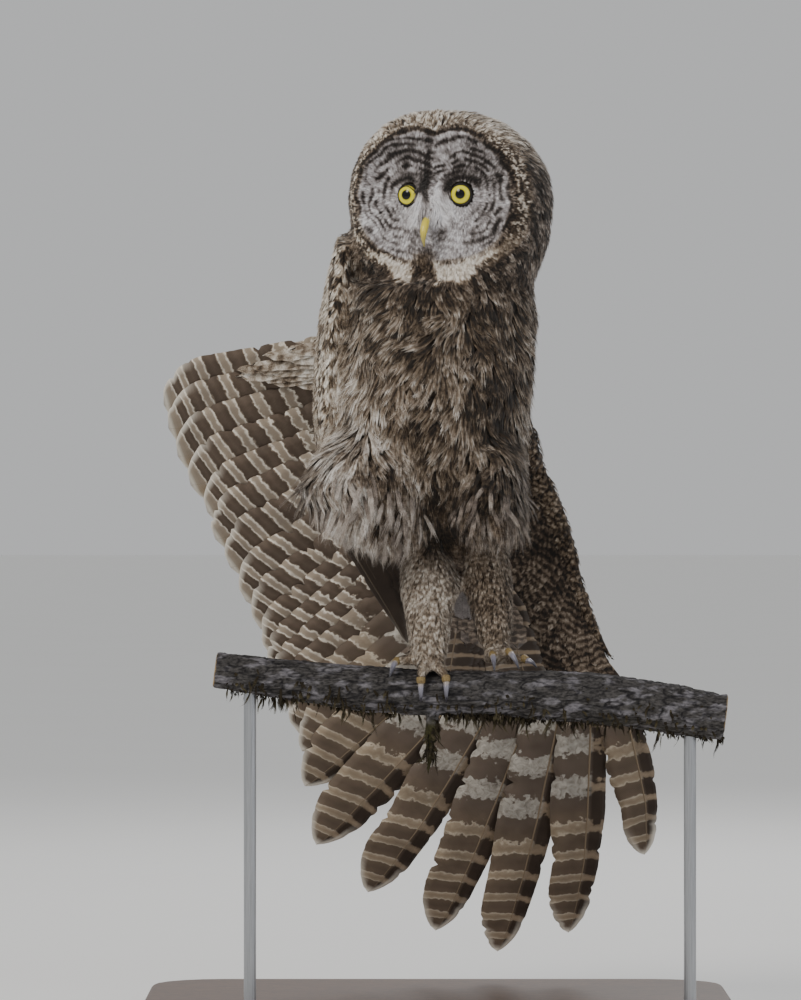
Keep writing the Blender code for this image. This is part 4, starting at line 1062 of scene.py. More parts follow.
def markings(tufts, who, points, along, across):
    """Tone, coolness, gold and fine bars, from place on the owl and place within the tuft."""
    root, pick, zones = tufts["root"], tufts["pick"], tufts["weights"]
    back = smooth_step(0.0, 0.035, root[:, 1] - centre("trunk")[1])
    region = coat_regions(zones, root)
    tones = region_tones(root, pick, back, zones["leg_left"])
    tone = sum(region[name] * tones[name] for name in region)
    streak, edge, bars, cool, lean = (
        sum(region[name] * REGION_LOOKS[name][column] for name in region) for column in range(5)
    )
    streak = streak + 0.10 * region["body"] * back
    # Painted shade: each tuft is darker towards its root, where the tufts over it shade it
    value = tone[who] - 0.20 * (1 - np.clip(along, 0, 1)) ** 2
    value -= streak[who] * np.exp(-((across / 0.30) ** 2)) * np.clip(1.30 - along, 0, 1)
    pale_tip = 0.8 * smooth_step(0.62, 0.92, along)
    value += edge[who] * (np.abs(np.clip(across, -1, 1)) ** 2 * along + pale_tip - 0.35)
    # Small blotches with crisp edges, in the light as in the dark parts
    blotch = 0.14 * patches(points, (0.0070, 0.0070, 0.0100), 51) + 0.18 * patches(points, 0.0032, 14)
    value += (region["body"] * (1 - 0.4 * back) + 0.55 * region["thighs"])[who] * blotch
    value += 0.40 * region["crown"][who] * patches(points, (0.0022, 0.0022, 0.0030), 52)
    # Black scales on the pale strip of the folded wing
    scales = smooth_step(0.50, 0.60, noise(points, (0.0034, 0.0034, 0.0050), 33))
    value -= 0.76 * region["pale_strip"][who] * scales
    colder = cool[who] + lean[who] * (value - 0.42)
    if zones["head"].max() > 0.03:
        value, colder = face_looks(value, colder, in_face(points), points, tufts["face"][who], pick[who])
    return {
        "tone": np.clip(value, 0, 1), "cool": np.clip(colder, 0, 1),
        "gold": np.clip(region["feet"] * near_claws(root), 0, 1)[who],
        "bar_depth": bars[who] * (1 - tufts["face"][who]),
        "bar_phase": 2 * math.pi * (along * tufts["length"][who] / FINE_BARS + pick[who]),
    }


def plume_looks(tufts, who, points, along, across):
    """Long pale hair-like barbs, faintly barred across, with painted shade towards their roots and on the
    left thigh.
    """
    # Painted shade towards the root
    tone = 0.60 + 0.26 * (tufts["pick"][who] - 0.5) - 0.30 * (1 - np.clip(along * 1.8, 0, 1))
    tone += 0.10 * np.sin(2 * math.pi * (3.2 * along + tufts["pick"][who]))
    # Painted shade on the left thigh
    tone -= 0.14 * (tufts["root"][who, 0] > centre("trunk")[0])
    zero = np.zeros(len(points))
    return {"tone": np.clip(tone, 0, 1), "cool": zero + 0.35, "gold": zero}


def near_claws(points):
    """1 on the bare toe ends beside the claws, 0 a little way up the toes."""
    near = np.full(len(points), 1.0)
    for root in CLAW_ROOTS.values():
        near = np.minimum(near, np.linalg.norm(points - root, axis=1))
    return 1 - smooth_step(0.0030, 0.0062, near)


def spot(x, z, at, size):
    """A soft round or long spot on the face: 1 in its middle."""
    return np.exp(-(((x - at[0]) / size[0]) ** 2) - ((z - at[1]) / size[1]) ** 2)


def disc_tone(place, points, pick, wander, crumb):
    """Tone of the facial disc: its rings, brows, pale crescents, bristles, middle line and moustache."""
    x, z = place[:, 0], place[:, 2]
    side, from_bill = np.abs(x), np.abs(x + BILL_SHIFT)
    eye_at = eye_place(x)
    from_eye = np.hypot(side - eye_at, z)
    turn = np.arctan2(z, side - eye_at)
    outward, upward = np.cos(turn), np.sin(turn)
    # Thin dark rings round each eye, broken in short bars, strongest above and outside it
    round_eye = np.stack((from_eye, turn * 0.030, np.sign(x) * 0.05), 1)
    broken = smooth_step(0.26, 0.54, noise(round_eye, (0.0036, 0.0060, 0.01), 7))
    strong = np.clip(0.36 + 0.85 * np.maximum(outward, upward), 0.32, 1.0)
    strong *= smooth_step(0.012, 0.024, from_eye)
    ring = 0.5 + 0.5 * np.cos(2 * math.pi * (from_eye / RING_SPACING + 1.5 * wander))
    disc = 0.79 - 0.60 * ring**1.4 * broken * strong + 0.24 * crumb + 0.26 * (pick - 0.5)
    disc += 0.34 * (noise(points, 0.006, 9) - 0.5) + 0.26 * (noise(points, 0.017, 45) - 0.5)
    # Painted shade: the disc is darker above the eyes, under the brow, and on the owl's left side, away from
    # the light
    disc -= 0.15 * smooth_step(0.002, 0.016, z) * (1 - 0.7 * smooth_step(0.034, 0.050, z))
    disc -= 0.13 * smooth_step(0.020, 0.048, x)
    # Thin dark rim of the eyes, drawn out at the inner corner. Painted shade of the brow: a dark line and
    # dark patches above each eye
    disc -= 0.55 * (1 - smooth_step(0.0080, 0.0089 + 0.0026 * np.maximum(upward, 0), from_eye))
    disc -= 0.48 * spot(side, z, (eye_at - 0.0098, 0.0035), (0.0036, 0.0050))
    brow = np.exp(-(((from_eye - 0.0136 - 0.0026 * outward) / 0.0018) ** 2))
    disc -= 0.42 * brow * smooth_step(0.05, 0.45, upward)
    disc -= 0.28 * spot(side, z, (eye_at - 0.003, 0.014), (0.014, 0.008))
    disc -= 0.20 * spot(side, z, (eye_at - 0.0125, 0.0080), (0.0045, 0.0080))
    # Pale crescents back to back between the eyes, and pale bristles beside the bill
    crescent = np.exp(-(((from_bill - 0.0078 - 11 * (z + 0.002) ** 2) / 0.0030) ** 2))
    disc += 0.30 * crescent * smooth_step(-0.032, -0.016, z) * (1 - smooth_step(0.012, 0.028, z))
    disc += 0.24 * spot(from_bill, z, (0.0140, -0.0200), (0.0085, 0.0090))
    midline = np.exp(-(((x + 0.0040 + 0.003 * wander) / 0.0027) ** 2)) * smooth_step(-0.014, -0.004, z)
    disc -= 0.56 * midline * (1 - 0.40 * smooth_step(0.020, 0.045, z))
    # Dark moustache beside the bill and soft dark chin
    disc -= 0.32 * spot(from_bill, z, (0.0092, -0.0320), (0.0052, 0.0058))
    return disc - 0.42 * spot(x, z, (-0.0065, -0.0470), (0.0085, 0.0075))


def face_looks(tone, cool, place, points, face, pick):
    """Adds the facial disc, the dark line round it, the ruff, the bow tie and the chin to the tone."""
    x, depth, z = place[:, 0], place[:, 1], place[:, 2]
    wander = noise(points, 0.012, 5) - 0.5
    crumb = patches(points, (0.0016, 0.0028, 0.0016), 6)
    disc = disc_tone(place, points, pick, wander, crumb)
    share = disc_share(place) + 0.05 * wander
    front = 1 - smooth_step(0.010, 0.026, depth)
    colder = cool * (1 - face) + (0.74 + 0.40 * (disc - 0.55)) * face
    value = tone * (1 - face) + disc * face
    # Dark line round the disc, weak low down, then the ruff: cream specks on dark brown at the sides
    line = smooth_step(0.915, 0.960, share) * (1 - smooth_step(0.985, 1.035, share)) * front
    value -= (0.24 + 0.20 * smooth_step(-0.010, 0.020, z)) * line
    ruff = smooth_step(0.985, 1.02, share) * (1 - smooth_step(1.10, 1.16, share)) * front
    ruff *= 0.20 + 0.80 * smooth_step(0.50, 0.72, np.abs(x) / DISC_SIDE)
    plain = (1 - smooth_step(-0.040, -0.028, z)) * smooth_step(0.042, 0.050, x)
    specks = smooth_step(0.50, 0.60, noise(points, 0.0019, 44)) * (1 - 0.8 * plain)
    value = value * (1 - 0.9 * ruff) + (0.16 + 0.26 * plain + 0.76 * specks) * 0.9 * ruff
    # White patches under the chin like a bow tie with ragged edges, the dark chin between them
    low = 1 - smooth_step(-0.048, -0.040, z)
    beside = np.abs(x + BOW_SHIFT) + 0.0060 * (noise(points, 0.0042, 53) - 0.5)
    reach = np.where(x + BOW_SHIFT > 0, 0.058, 0.042)
    ragged = share + 0.12 * (noise(points, 0.0045, 10) - 0.5) + 0.06 * (pick - 0.5)
    thick = 1.29 - 0.22 * smooth_step(0.45, 1.0, beside / reach)
    bow = low * smooth_step(0.0080, 0.0120, beside) * (1 - smooth_step(reach, reach + 0.012, beside)) * front
    bow *= smooth_step(0.94, 1.00, ragged) * (1 - smooth_step(thick - 0.06, thick + 0.02, ragged))
    value = value * (1 - 0.92 * bow) + (0.97 + 0.30 * crumb) * 0.92 * bow
    chin = low * np.exp(-((beside / 0.0086) ** 2)) * smooth_step(0.74, 0.90, share) * front
    chin *= 1 - smooth_step(1.08, 1.30, ragged)
    value = value * (1 - 0.78 * chin) + (0.22 + 0.3 * crumb) * 0.78 * chin
    colder = colder * (1 - 0.85 * ruff) * (1 - 0.6 * bow) * (1 - chin) * (1 - 0.7 * line)
    return value, colder


# Rows of coverts over the roots of the flight feathers

def wing_place(number, share, lift):
    """A place on the spread wing: feather number from the body out, share of its length, and lift."""
    low = np.clip(np.floor(number).astype(int), 0, len(MIDLINES) - 2)
    part = (number - low)[:, None, None]
    row = MIDLINES[low] * (1 - part) + MIDLINES[low + 1] * part
    last = row.shape[1] - 1
    place = np.clip(share, 0, 1) * last
    k = np.clip(np.floor(place).astype(int), 0, last - 1)
    who = np.arange(len(row))
    within = (place - k)[:, None]
    point = row[who, k] * (1 - within) + row[who, k + 1] * within
    point = point + (row[:, 1] - row[:, 0]) * (np.minimum(share, 0) * last)[:, None]
    return point + np.array(VIEWED) * lift[:, None]


def covert_rows(rows, facing):
    """Leaves of several rows of coverts, on the viewed side of the wing if facing is 1, or else behind."""
    made = {key: [] for key in ("path", "up", "width", "pick", "uv")}
    for order, (start, end, per_feather, width, lift, first, last) in enumerate(rows):
        count = int((last - first) * per_feather)
        number = first + (np.arange(count) + 0.5) / per_feather + chance.uniform(-0.12, 0.12, count)
        number = np.clip(number, first, last - 0.01)
        jitter = chance.uniform(-0.010, 0.010, count)
        reach = end * (1 - 0.26 * smooth_step(13.0, 18.0, number))
        path = []
        for step in np.linspace(0, 1, 6):
            height = lift * (0.72 + 0.34 * step - 0.10 * step**3)
            place = start + (reach - start) * step + jitter
            path.append(wing_place(number, place, np.full(count, facing * height)))
        path = np.stack(path, 1)
        up = np.zeros_like(path)
        up[..., 1] = -facing
        up[..., 0] = chance.uniform(-0.10, 0.10, (count, 1))
        made["path"].append(path)
        made["up"].append(up)
        made["width"].append(width * chance.uniform(0.9, 1.12, count))
        made["pick"].append(chance.random(count))
        row_v = np.full(count, (order + 0.5) / len(rows))
        made["uv"].append(np.stack((0.02 + 0.96 * (number + 0.5) / (len(MIDLINES) + 1), row_v), 1))
    return {key: np.concatenate(value) for key, value in made.items()}


def leaf_piece(name, leaves, looks, hides=(), stations=11, columns=7):
    """Small vanes as one mesh. Each is a cupped leaf with a round, slightly split tip."""
    count = len(leaves["path"])
    share = np.tile(np.linspace(0, 1, stations), (count, 1))
    middle, way = along_path(leaves["path"], share)
    up, _ = along_path(leaves["up"], share)
    up = unit(up - way * (up * way).sum(-1, keepdims=True))
    over = unit(np.cross(up, way))
    t = share[0]
    swell = 0.30 + 0.70 * np.sin(np.clip(t / 0.62, 0, 1) * math.pi / 2)
    outline = swell * np.sqrt(np.clip(1 - np.clip((t - 0.62) / 0.38, 0, 1) ** 2.4, 0, 1))
    across = np.linspace(-1, 1, columns)
    half = leaves["width"][:, None] / 2 * np.maximum(outline, 0.03)
    ragged = 1 + 0.12 * chance.uniform(-1, 1, (count, stations, 1)) * (t > 0.3)[None, :, None]
    side = half[:, :, None] * across * np.where(np.abs(across) > 0.9, ragged, 1)
    drop = 0.10 * np.abs(side) ** 1.4 / 0.010**0.4
    comb = way[:, :, None] * (np.abs(side)[..., None] * 0.35)
    points = middle[:, :, None] + over[:, :, None] * side[..., None]
    points = points - up[:, :, None] * drop[..., None] + comb
    notch = chance.uniform(-0.06, 0.05, (count, 1, columns)) * (t**6)[None, :, None]
    length = np.linalg.norm(leaves["path"][:, -1] - leaves["path"][:, 0], axis=-1)
    points = points + way[:, :, None] * (notch * length[:, None, None])[..., None]
    each = stations * columns
    faces = (np.arange(count)[:, None, None] * each + grid_faces(stations, columns)).reshape(-1, 4)
    who = np.repeat(np.arange(count), each)
    along = np.tile(np.repeat(t, columns), count)
    cross = np.tile(np.tile(across, stations), count)
    flat = points.reshape(-1, 3)
    uv = leaves["uv"][who] + PATCH * np.stack((0.45 * cross, 0.9 * (along - 0.5)), 1)
    values = looks(leaves["pick"][who], flat, along, cross, along * length[who])
    return build(name, flat, [faces], values, FINISH["plumage"], hides, on_map(uv))


def leaf_values(tone, cool, pick, far, spacing, deep):
    """What a leaf tells its finish: tone, coolness, and bars with this spacing and depth."""
    return {
        "tone": np.clip(tone, 0, 1), "cool": cool + 0 * tone, "gold": 0 * tone,
        "bar_phase": 2 * math.pi * (far / spacing + pick), "bar_depth": deep + 0 * tone,
    }


def underwing_looks(pick, points, along, across, far):
    """Brown with pale wavy bars and a pale tip; painted shade makes it nearly black beside the body and
    darker towards each root.
    """
    # Painted shade of the body: nearly black, with faint bars, beside it
    inside = 1 - smooth_step(-0.024, 0.004, points[:, 0])
    tone = 0.29 + 0.24 * (pick - 0.5) + 0.24 * (noise(points, 0.012, 13) - 0.5)
    tone += 0.20 * patches(points, 0.0046, 18)
    # A pale tip, and painted shade towards the root, where the next row lies over it
    tone += 0.22 * smooth_step(0.90, 1.0, along) - 0.10 * (1 - along) ** 2
    tone -= 0.10 * np.exp(-((across / 0.12) ** 2))
    return leaf_values(tone * (1 - 0.75 * inside), 0.10, pick, far, 0.0068, 0.16 * (1 - inside))


def upperwing_looks(pick, points, along, across, far):
    """Grey-brown, finely barred, with dark middles and pale mottled edges."""
    tone = 0.36 + 0.24 * (pick - 0.5) + 0.20 * np.abs(across) ** 2 + 0.2 * (noise(points, 0.010, 12) - 0.5)
    # Painted shade: darker towards the root, where the next row lies over it
    tone -= 0.18 * np.exp(-((across / 0.2) ** 2)) + 0.12 * (1 - along)
    return leaf_values(tone, 0.40, pick, far, 0.0060, 0.14)


def shoulder_looks(pick, points, along, across, far):
    """Pale buff mottled with brown, as the small feathers near the shoulder are."""
    # Painted shade: darker towards the root, where the next row lies over it
    tone = 0.64 + 0.24 * (pick - 0.5) - 0.20 * (1 - along) ** 2 + 0.30 * patches(points, 0.0034, 15)
    tone += 0.26 * patches(points, 0.0090, 16) + 0.14 * smooth_step(0.5, 1.0, np.abs(across))
    return leaf_values(tone, 0.10, pick, far, 0.0090, 0.12)


def undertail_looks(pick, points, along, across, far):
    """Some smooth and pale grey, some mottled buff and brown."""
    smooth = smooth_step(0.45, 0.55, pick)
    # Painted shade: darker towards the root, under the tail
    tone = 0.25 + 0.07 * smooth - 0.10 * np.exp(-((across / 0.07) ** 2)) + 0.14 * along
    tone += 0.20 * (1 - 0.4 * smooth) * patches(points, 0.0034, 17)
    return leaf_values(tone, 0.15 + 0.60 * smooth, pick, far, 0.0100, 0.13 * (1 - smooth))


# Rows: share of the feather at root and tip, leaves for each feather, width, lift, first and last feather
UNDER_ROWS = (
    (0.15, 0.43, 1.0, 0.0235, 0.0034, 0, 21),
    (0.08, 0.33, 1.6, 0.0165, 0.0041, 0, 21),
    (0.02, 0.245, 2.2, 0.0130, 0.0048, 0, 21),
    (-0.03, 0.175, 3.0, 0.0105, 0.0054, 0, 21),
    (-0.06, 0.115, 3.5, 0.0090, 0.0060, 0, 21),
)
OVER_ROWS = (
    (0.14, 0.42, 1.0, 0.0250, 0.0040, 0, 21),
    (0.06, 0.31, 1.6, 0.0190, 0.0047, 0, 21),
    (0.00, 0.22, 2.2, 0.0150, 0.0053, 0, 21),
    (-0.05, 0.14, 3.0, 0.0120, 0.0059, 0, 21),
)
SHOULDER_ROWS = (
    (0.480, 0.745, 3.0, 0.0130, 0.0030, -0.85, -0.15),
    (0.430, 0.700, 3.0, 0.0140, 0.0036, -1.05, 0.20),
    (0.370, 0.645, 3.0, 0.0145, 0.0042, -1.25, 0.50),
    (0.300, 0.580, 3.0, 0.0150, 0.0048, -1.40, 0.80),
    (0.230, 0.510, 3.0, 0.0150, 0.0054, -1.55, 1.10),
)
# Feathers under the tail's root: share of the tail at root and tip, count, width and drop
UNDERTAIL_ROWS = (
    (0.02, 0.50, 5, 0.0240, 0.0072),
    (-0.04, 0.38, 6, 0.0210, 0.0086),
    (-0.10, 0.26, 7, 0.0180, 0.0100),
)
UNDERTAIL_WIDE = 0.036


def undertail_leaves():
    """Leaves of the soft feathers under the tail's root."""
    left, right = EDGES["tail_feathers_centre"]
    middle = (left + right) / 2
    over = unit(right[-1] - left[-1])
    made = {key: [] for key in ("path", "up", "width", "pick", "uv")}
    for order, (start, end, count, width, drop) in enumerate(UNDERTAIL_ROWS):
        for k in range(count):
            aside = (2 * (k + 0.5) / count - 1) * UNDERTAIL_WIDE * (1 - 0.2 * order)
            path = []
            for share in np.linspace(start, end, 6):
                known = middle[0] + (middle[-1] - middle[0]) * share
                path.append(known + over * aside * (0.55 + 0.9 * max(share, 0)) - TAIL_UP * drop)
            made["path"].append(path)
            made["up"].append([-TAIL_UP] * 6)
            made["width"].append(width * chance.uniform(0.9, 1.1))
            made["pick"].append(chance.random())
            made["uv"].append(((k + 0.5) / count, (order + 0.5) / len(UNDERTAIL_ROWS)))
    return {key: np.array(value, float) for key, value in made.items()}


# Tail and folded wing

def make_tail():
    """The closed tail: twelve feathers, the middle pair on top and each outer one below the last."""
    left_most, right_most = EDGES["tail_feathers_right"], EDGES["tail_feathers_left"]
    first, last = (left_most[0] + left_most[1]) / 2, (right_most[0] + right_most[1]) / 2
    if (first[-1] - last[-1]) @ np.array((1.0, 0, 0)) > 0:
        first, last = last, first
    over = unit(last[-1] - first[-1])
    for k in range(TAIL_COUNT):
        share = k / (TAIL_COUNT - 1)
        off = abs(share - 0.5) * 2
        middle = first * (1 - share) + last * share - TAIL_UP * 0.0010 * (off * (TAIL_COUNT / 2 - 1) - 2.0)
        middle = middle[0] + (middle - middle[0]) * (1 - 0.05 * off**2)
        half = np.interp(np.linspace(0, 1, len(middle)), (0, 0.3, 1), (0.006, 0.018, 0.0205))[:, None]
        hides = TAIL[0] if share < 0.33 else TAIL[2] if share > 0.67 else TAIL[1]
        vane_feather(
            f"tail_vane_{k + 1:02d}", middle - over * half, middle + over * half, TAIL_FEATHER, [hides],
            seed=40 + k)


def make_folded_primaries():
    """The folded wing's long feathers, nearly closed, each a little shorter than the last, painted nearly
    black as shade.
    """
    low, high = EDGES[FOLDED]
    places = np.linspace(0, 1, len(low))
    for k in range(FOLDED_COUNT):
        share = k / (FOLDED_COUNT - 1)
        reach = 1.0 - 0.16 * share
        left, right = resampled(low, places * reach), resampled(high, places * reach)
        middle = left + (right - left) * (0.27 + 0.46 * share) + np.array((0, 0.0030 * (share - 0.5), 0))
        half = (right - left) * 0.27
        vane_feather(
            f"folded_vane_{k + 1:02d}", middle - half, middle + half, FOLDED_FEATHER, [FOLDED], seed=60 + k)


# Fine copies of hard solids

def fine_surface(name, grid, rounds, grow=0.0):
    """Points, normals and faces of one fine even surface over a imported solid."""
    fine, points, _ = one_surface({name: grow}, grid, rounds)
    fine.vertices.foreach_set("co", points.ravel())
    fine.update()
    normals = read(fine.vertices, "normal")
    faces = np.array([face.vertices[:] for face in fine.polygons])
    bpy.data.meshes.remove(fine)
    return points, normals, faces


CLAWS = [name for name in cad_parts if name.startswith("claw_")]


def claw_root(name):
    """The end of a claw that is in its toe."""
    points, _ = solid_mesh(name)
    foot, _ = solid_mesh("foot_" + name.split("_")[1])
    away = np.linalg.norm(points[:, None] - foot[None], axis=2).min(1)
    tip = points[np.argmax(away)]
    reach = np.linalg.norm(points - tip, axis=1)
    return points[reach > 0.72 * reach.max()].mean(0)


def make_horn(name, finish, grid, rounds, root, grow, back=0.0):
    """A claw or half of the bill: a fine smooth copy of its solid with its length told to the finish."""
    points, _, faces = fine_surface(name, grid, rounds, grow)
    points = points + FACE_Y * back
    far = np.linalg.norm(points - root, axis=1)
    return build(name + "_horn", points, [faces], {"along": far / far.max()}, finish, [name])


# Eyes

# How far each eye looks outwards, the iris's share of the eyeball's radius, and points in a ring
GAZE_APART = math.radians(7)
IRIS_SHARE = 0.655
EYE_SIDES = 56
# Rows of the lids' rim from the opening outwards: angle on the eyeball, and lift off it in metres
LID_ROWS = (
    (0.0, 0.0002), (0.010, 0.0005), (0.028, 0.0006), (0.055, 0.0003), (0.12, -0.0006), (0.28, -0.0026),
)


def gaze_frame(side):
    """Ways forward, to the side and up of one eye."""
    sign = 1 if side == "left" else -1
    gaze = unit(-FACE_Y * math.cos(GAZE_APART) + FACE_X * sign * math.sin(GAZE_APART))
    over = unit(np.cross(gaze, FACE_Z))
    return gaze, over, np.cross(over, gaze)


def make_eye(side):
    """An eyeball with a slightly domed front, its iris and pupil painted on under a glossy coat."""
    gaze, over, up = gaze_frame(side)
    rings = 44
    opened = np.linspace(0.004, 0.97 * math.pi, rings)
    points, radial = [], []
    for angle in opened:
        dome = 1 + 0.030 * math.exp(-((angle / 0.42) ** 2))
        for turn in turns(EYE_SIDES):
            flat = (over * math.cos(turn) + up * math.sin(turn)) * math.sin(angle)
            points.append(EYEBALLS[side] + EYE_RADIUS * dome * (gaze * math.cos(angle) + flat))
            radial.append(math.sin(angle) / IRIS_SHARE if angle < math.pi / 2 else 2)
    faces = grid_faces(rings, EYE_SIDES, closed=True)
    faces = [faces, ring_caps(rings, EYE_SIDES)]
    values = {"radial": radial, "turn": np.sin(np.tile(turns(EYE_SIDES), rings))}
    return build(f"eyeball_{side}", np.array(points), faces, values, FINISH["eye"], [f"eye_{side}"])


def make_lids(side):
    """The dark bare rim of the lids, thicker above and drawn out towards the bill."""
    gaze, over, up = gaze_frame(side)
    inward = -1 if over @ FACE_X > 0 else 1
    if side == "right":
        inward = -inward
    # The right eye is seen from the side, half behind the ridge of the bill: its lids close further
    nearer = 0.15 if side == "right" else 0.0
    points = []
    for step, lift in LID_ROWS:
        for turn in turns(EYE_SIDES):
            c, s = math.cos(turn), math.sin(turn)
            inner = max(0.0, inward * c)
            opened = 0.700 - 0.25 * nearer - 0.095 * max(0.0, s) ** 2 + 0.12 * inner**8 - nearer * inner
            angle = opened + step * (1.0 + 0.35 * inner**4)
            reach = EYE_RADIUS * 1.004 + lift
            flat = (over * c + up * s) * math.sin(angle)
            points.append(EYEBALLS[side] + reach * (gaze * math.cos(angle) + flat))
    faces = grid_faces(len(LID_ROWS), EYE_SIDES, closed=True)
    return build(f"lids_{side}", np.array(points), [faces], {}, FINISH["lid"])


# Perch and stand

# The dead stub below the branch starts here
STUB_X = -0.006
STUB_TOP = 0.268


def make_perch():
    """The branch: one fine surface with cracked bark plates, flat sawn ends and a mossy stub."""
    points, normals, faces = fine_surface("perch", 0.0013, 2)
    low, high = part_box("perch")
    end = np.minimum(points[:, 0] - low.x, high.x - points[:, 0])
    sawn = smooth_step(0.55, 0.85, np.abs(normals[:, 0])) * (1 - smooth_step(0.002, 0.005, end))
    long_plate = np.abs(noise(points, (0.016, 0.0045, 0.0045), 21) - 0.5) * 2
    short_plate = np.abs(noise(points, (0.0075, 0.0030, 0.0030), 24) - 0.5) * 2
    short_crack = 0.6 * (1 - smooth_step(0.0, 0.16, short_plate))
    crack = np.maximum(1 - smooth_step(0.0, 0.15, long_plate), short_crack)
    small = noise(points, 0.0028, 22) - 0.5
    broad = noise(points, 0.014, 23) - 0.5
    height = -0.0008 * crack + 0.0011 * small + 0.0016 * broad
    points = points + normals * (height * (1 - sawn))[:, None]
    rings = np.hypot(points[:, 1] - PERCH_Y, points[:, 2] - np.interp(points[:, 0], *PERCH_AXIS))
    stub = smooth_step(0.019, 0.030, rings) * (points[:, 2] < STUB_TOP)
    values = {"crack": 0.85 * crack, "sawn": sawn, "ring": rings, "moss": stub}
    return build("bark_branch", points, [faces], values, FINISH["bark"], ["perch"])


def perch_axis():
    """Middle height of the branch at places along it, read from its solid."""
    points, _ = solid_mesh("perch")
    low, high = points[:, 0].min(), points[:, 0].max()
    xs = np.linspace(low, high, 14)
    zs = []
    for x in xs:
        near = points[np.abs(points[:, 0] - x) < 0.018]
        top = near[:, 2].max()
        wide = (near[:, 1].max() - near[:, 1].min()) / 2
        zs.append(top - wide)
    return xs, np.array(zs)


def moss_looks(tufts, who, points, along, across):
    """Brown-green threads, paler at their ends."""
    return {"tone": 0.20 + 0.16 * tufts["pick"][who] + 0.40 * np.clip(along, 0, 1) * tufts["pick"][who]}


# Stage

def make_camera():
    """A long lens, level, at the photograph's distance, with the photograph's frame round the owl."""
    data = bpy.data.cameras.new("camera")
    data.lens = LENS
    data.sensor_width = SENSOR
    away = LENS / SENSOR * PHOTO_HIGH / PIXELS_PER_METRE
    made = put("camera", data)
    made.location = (CAMERA_X, PERCH_Y - away, CAMERA_Z)
    made.rotation_euler = (math.pi / 2, 0, 0)
    data.clip_end = 3 * FLOOR_RADIUS
    bpy.context.scene.camera = made


def make_light(name, place, size, power, colour):
    """A large soft panel turned towards the owl."""
    data = bpy.data.lights.new(name, "AREA")
    data.shape = "DISK"
    data.size = size
    data.energy = power
    data.color = linear(colour)[:3]
    made = put(name, data)
    made.location = place
    aim = Vector(LIGHTS_AIM) - Vector(place)
    made.rotation_euler = aim.to_track_quat("-Z", "Y").to_euler()


def make_studio():
    """Plain pale floor, pale surroundings and three soft lights."""
    mesh = bpy.data.meshes.new("studio_floor")
    work = bmesh.new()
    bmesh.ops.create_circle(work, cap_ends=True, segments=96, radius=FLOOR_RADIUS)
    work.to_mesh(mesh)
    work.free()
    floor = put("studio_floor", mesh)
    mesh.materials.append(floor_finish())
    world = bpy.data.worlds.new("studio")
    bpy.context.scene.world = world
    world.use_nodes = True
    sky = world.node_tree.nodes["Background"]
    sky.inputs["Color"].default_value = linear("#dcddde")
    sky.inputs["Strength"].default_value = 0.74
    make_light("key_light", (-1.6, -2.3, 2.6), 1.3, 52, "#fff9f2")
    make_light("fill_light", (2.2, -1.8, 1.2), 1.8, 10, "#eef2ff")
    make_light("back_light", (0.8, 2.4, 2.2), 1.6, 24, "#ffffff")


# Owl

def in_locks(root, up, way, unruly):
    """Ways turned a little this way and that, in locks about 2 cm across."""
    turn = chance.normal(0, 0.18, len(root)) + (0.25 + 1.3 * unruly) * (noise(root, 0.017, 31) - 0.5)
    turn += 0.9 * unruly * (noise(root, 0.006, 32) - 0.5)
    turn = turn[:, None]
    return unit(way * np.cos(turn) + np.cross(up, way) * np.sin(turn))


def fanned(place, way):
    """Ways with the pale bristles round the bill fanned down and out, and how much each is one."""
    from_bill = place[:, 0] + BILL_SHIFT
    fan = np.clip(from_bill / 0.010, -1, 1)[:, None]
    lore = spot(np.abs(from_bill), place[:, 2], (0.0105, -0.0080), (0.0095, 0.0170)) * (place[:, 1] < 0)
    lore = smooth_step(0.20, 0.60, lore)
    aim = unit(-FACE_Z + 0.75 * fan * FACE_X - 0.15 * FACE_Y)
    way = unit(way * (1 - lore[:, None]) + aim * lore[:, None])
    # The lowest stand out over the bill's base
    bristle = spot(np.abs(from_bill), place[:, 2], (0.0042, -0.0160), (0.0060, 0.0075)) * (place[:, 1] < 0)
    bristle = smooth_step(0.15, 0.60, bristle)
    aim = -FACE_Z + 0.25 * fan * FACE_X - 0.85 * FACE_Y
    return unit(way * (1 - bristle[:, None]) + aim * bristle[:, None]), lore, bristle


